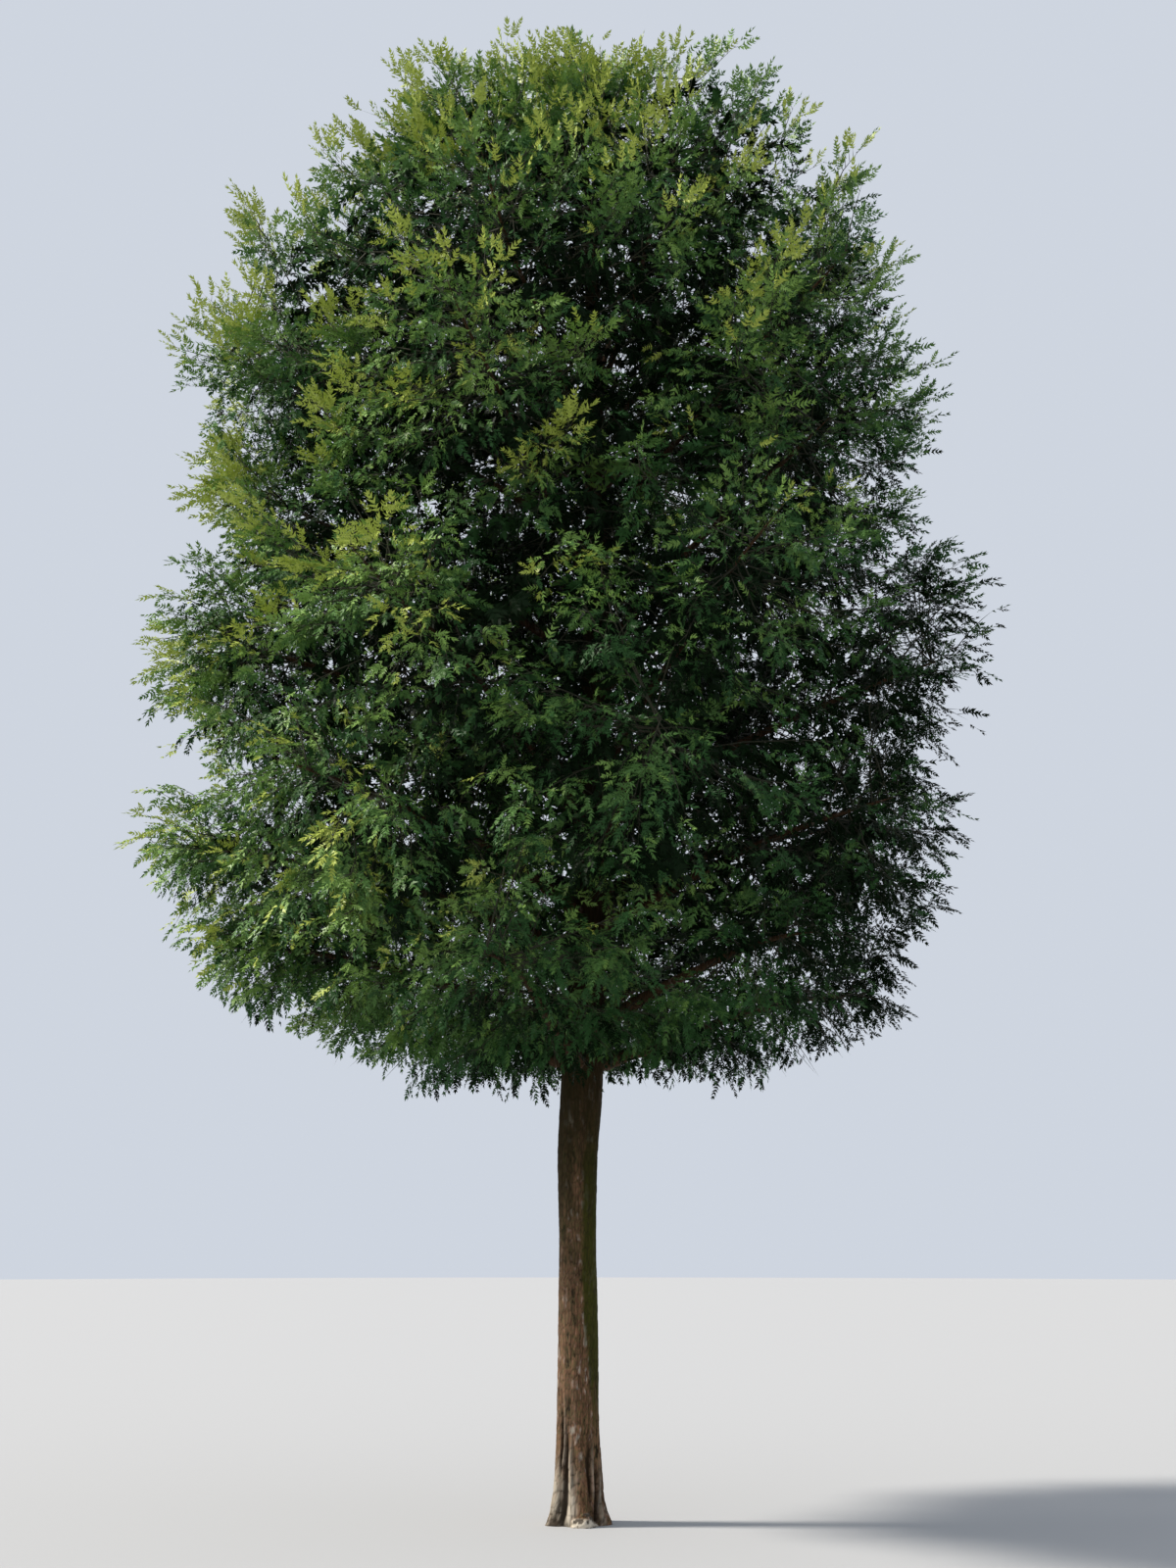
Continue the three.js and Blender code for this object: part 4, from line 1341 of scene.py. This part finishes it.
def needle_triangles(sprays, rows, pairs, length, width, noise):
    """Each needle of some sprays, as one tapering triangle from its root to its point."""
    place = sprays["place"][rows]
    heading = sprays["heading"][rows]
    flat = sprays["flat"][rows]
    size = sprays["length"][rows]
    count = len(rows)
    number = np.arange(2 * pairs)
    share = (number // 2 + 0.5) / pairs
    share = share[None] + noise.uniform(-0.25, 0.25, (count, 2 * pairs)) / pairs
    hand = np.where(number % 2, 1.0, -1.0)[None]
    roll = np.radians(noise.uniform(-38, 38, (count, 2 * pairs)))
    out = turned(
        np.repeat(flat[:, None], 2 * pairs, axis=1) * hand[..., None],
        np.repeat(heading[:, None], 2 * pairs, axis=1),
        roll,
    )
    spread = np.radians(64 - 34 * share + noise.uniform(-8, 8, share.shape))[..., None]
    along = heading[:, None]
    way = unit(along * np.cos(spread) + out * np.sin(spread))
    # Needles are longest at the middle of a shoot, and longer on a longer shoot
    grown_size = np.clip(size / 0.11, 0.75, 1.15)[:, None]
    reach = length * grown_size * (0.72 + 0.36 * np.sin(np.pi * np.clip(share, 0, 1) ** 0.8))
    reach = reach * noise.uniform(0.85, 1.12, share.shape)
    root = place[:, None] + along * (share * size[:, None] * 0.92)[..., None]
    edge = unit(np.cross(way, np.cross(along, out)))
    half = (0.5 * width * grown_size)[..., None]
    tip = root + way * reach[..., None]
    side = np.stack([root - edge * half, root + edge * half, tip], axis=2)

    # The needle at the shoot's point, which goes straight on
    end = place + heading * (size * 0.86)[:, None]
    end_tip = place + heading * (size * 0.86 + length * 0.85)[:, None]
    end_half = flat * (0.55 * width)
    last = np.stack([end - end_half, end + end_half, end_tip], axis=1)[:, None]
    return np.concatenate([side, last], axis=1)


def tints(sprays, twig_count, noise):
    """A tint's number for each spray: brighter at tips and outside, painted sunlit on the sunny
    side and bunch tops, and painted shaded deep inside.
    """
    sun = unit(sprays["place"] - CROWN_HEART) @ SUNNY_SIDE
    parts = {
        "tip": smooth(0.35, 1.0, sprays["along_twig"]) * 0.6 + 0.4 * sprays["along_side"],
        "out": 1 - smooth(0.05, 0.6, depth_inside(sprays["place"])),
        "sun": np.where(sun < 0, SHADE_FALL * sun, np.minimum(SUN_CAP, sun)),
        "twig": noise.normal(0, 1, twig_count)[sprays["owner"]],
        "limb": noise.normal(0, 1, LIMBS_MOST)[sprays["limb"]],
        "alone": noise.normal(0, 1, len(sun)),
        "bunch": noise.normal(0, 1, BUNCHES)[sprays["bunch"]],
        "crest": sprays["crest"],
        "inside": ~sprays["outer"],
    }
    score = sum(weight * parts[name] for name, weight in TINT_WEIGHTS.items())
    return np.digitize(score, np.quantile(score, TINT_SHARES))


class YEW_OT_needles(bpy.types.Operator):
    """Build the sprays of needles, dealt out in five plain tints"""

    bl_idname = "yew.needles"
    bl_label = "Needles"

    def execute(self, context):
        sizes = context.scene.yew_needles
        twigs, _, sprays = grown()
        noise = np.random.default_rng(SEED + 1)
        outer = sprays["outer"]
        tint = tints(sprays, len(twigs["length"]), noise)
        for number, name in enumerate(TINTS):
            parts = []
            for group, pairs, length, width in (
                (outer, OUTER_PAIRS, sizes.length, sizes.width),
                (~outer, INNER_PAIRS, sizes.inner_length, sizes.inner_width),
            ):
                rows = np.flatnonzero((tint == number) & group)
                needles = needle_triangles(sprays, rows, pairs, length, width, noise)
                parts.append(needles.reshape(-1, 3, 3))
            corners = np.concatenate(parts)
            # Yew needles: waxy leaves, matt beneath and slightly glossy above. They give the eye
            # a dense dark green with yellow-green tips
            material, _, _ = new_material(
                f"yew_needles_{name}",
                {
                    "Base Color": getattr(sizes, name),
                    "Roughness": 0.45,
                    "IOR": 1.45,
                    "Specular IOR Level": 0.06 + 0.06 * number,
                },
            )
            pieces = math.ceil(len(corners) / PIECE_TRIANGLES)
            for k, share in enumerate(np.array_split(corners, pieces)):
                faces = np.arange(3 * len(share)).reshape(-1, 3)
                mesh = mesh_of(f"needles_{name}_{k + 1}", share.reshape(-1, 3), faces)
                add_piece(f"yew_needles_{name}_{k + 1}", mesh, material, FOLIAGE_NODES)
        return {"FINISHED"}


class YEW_OT_stage(bpy.types.Operator):
    """Build the floor, the light and the camera"""

    bl_idname = "yew.stage"
    bl_label = "Stage"

    def execute(self, context):
        scene = context.scene
        stage = scene.yew_stage
        bm = bmesh.new()
        bmesh.ops.create_circle(bm, cap_ends=True, segments=96, radius=stage.floor_radius)
        mesh = bpy.data.meshes.new("floor")
        bm.to_mesh(mesh)
        bm.free()
        # Painted studio floor: matt emulsion, plain and pale
        material, _, _ = new_material(
            "studio_floor_paint", {"Base Color": stage.floor, "Roughness": 0.9}
        )
        mesh.materials.append(material)
        floor = bpy.data.objects.new("floor", mesh)
        scene.collection.objects.link(floor)

        world = bpy.data.worlds.new("studio")
        world.use_nodes = True
        background = world.node_tree.nodes["Background"]
        background.inputs["Color"].default_value = stage.sky
        background.inputs["Strength"].default_value = stage.sky_strength
        scene.world = world

        lamp = bpy.data.lights.new("key", "SUN")
        lamp.energy = stage.key_strength
        lamp.angle = stage.key_angle
        lamp.color = linear(KEY_COLOUR)[:3]
        key = bpy.data.objects.new("key", lamp)
        key.rotation_euler = Vector(KEY_HEADING).to_track_quat("-Z", "Y").to_euler()
        scene.collection.objects.link(key)

        lens = bpy.data.cameras.new("camera")
        lens.lens = CAMERA_LENS
        lens.sensor_width = SENSOR
        lens.clip_end = 500
        camera = bpy.data.objects.new("camera", lens)
        camera.location = CAMERA_PLACE
        camera.rotation_euler = (math.radians(90 + CAMERA_PITCH), 0, 0)
        scene.collection.objects.link(camera)
        scene.camera = camera
        scene.view_settings.view_transform = "Standard"
        return {"FINISHED"}


class YEW_PT_panel(bpy.types.Panel):
    """The yew's pieces, in the order that they are built"""

    bl_label = "Yew"
    bl_idname = "YEW_PT_panel"
    bl_space_type = "VIEW_3D"
    bl_region_type = "UI"
    bl_category = "Yew"

    def draw(self, context):
        scene = context.scene
        for group, operators in (
            ("yew_bark", ("yew.trunk", "yew.boughs")),
            ("yew_growth", ("yew.twigs",)),
            ("yew_needles", ("yew.needles",)),
            ("yew_stage", ("yew.stage",)),
        ):
            box = self.layout.box()
            settings = getattr(scene, group)
            for name in settings.bl_rna.properties.keys():
                if name not in ("rna_type", "name"):
                    box.prop(settings, name)
            for operator in operators:
                box.operator(operator)


GROUPS = {
    "yew_bark": YewBark,
    "yew_growth": YewGrowth,
    "yew_needles": YewNeedles,
    "yew_stage": YewStage,
}
CLASSES = (
    *GROUPS.values(),
    YEW_OT_trunk,
    YEW_OT_boughs,
    YEW_OT_twigs,
    YEW_OT_needles,
    YEW_OT_stage,
    YEW_PT_panel,
)


def register():
    for cls in CLASSES:
        bpy.utils.register_class(cls)
    for name, group in GROUPS.items():
        setattr(bpy.types.Scene, name, PointerProperty(type=group))


def unregister():
    for name in GROUPS:
        delattr(bpy.types.Scene, name)
    for cls in reversed(CLASSES):
        bpy.utils.unregister_class(cls)


def main():
    register()
    bpy.ops.yew.trunk()
    bpy.ops.yew.boughs()
    bpy.ops.yew.twigs()
    bpy.ops.yew.needles()
    bpy.ops.yew.stage()


if __name__ == "__main__":
    main()
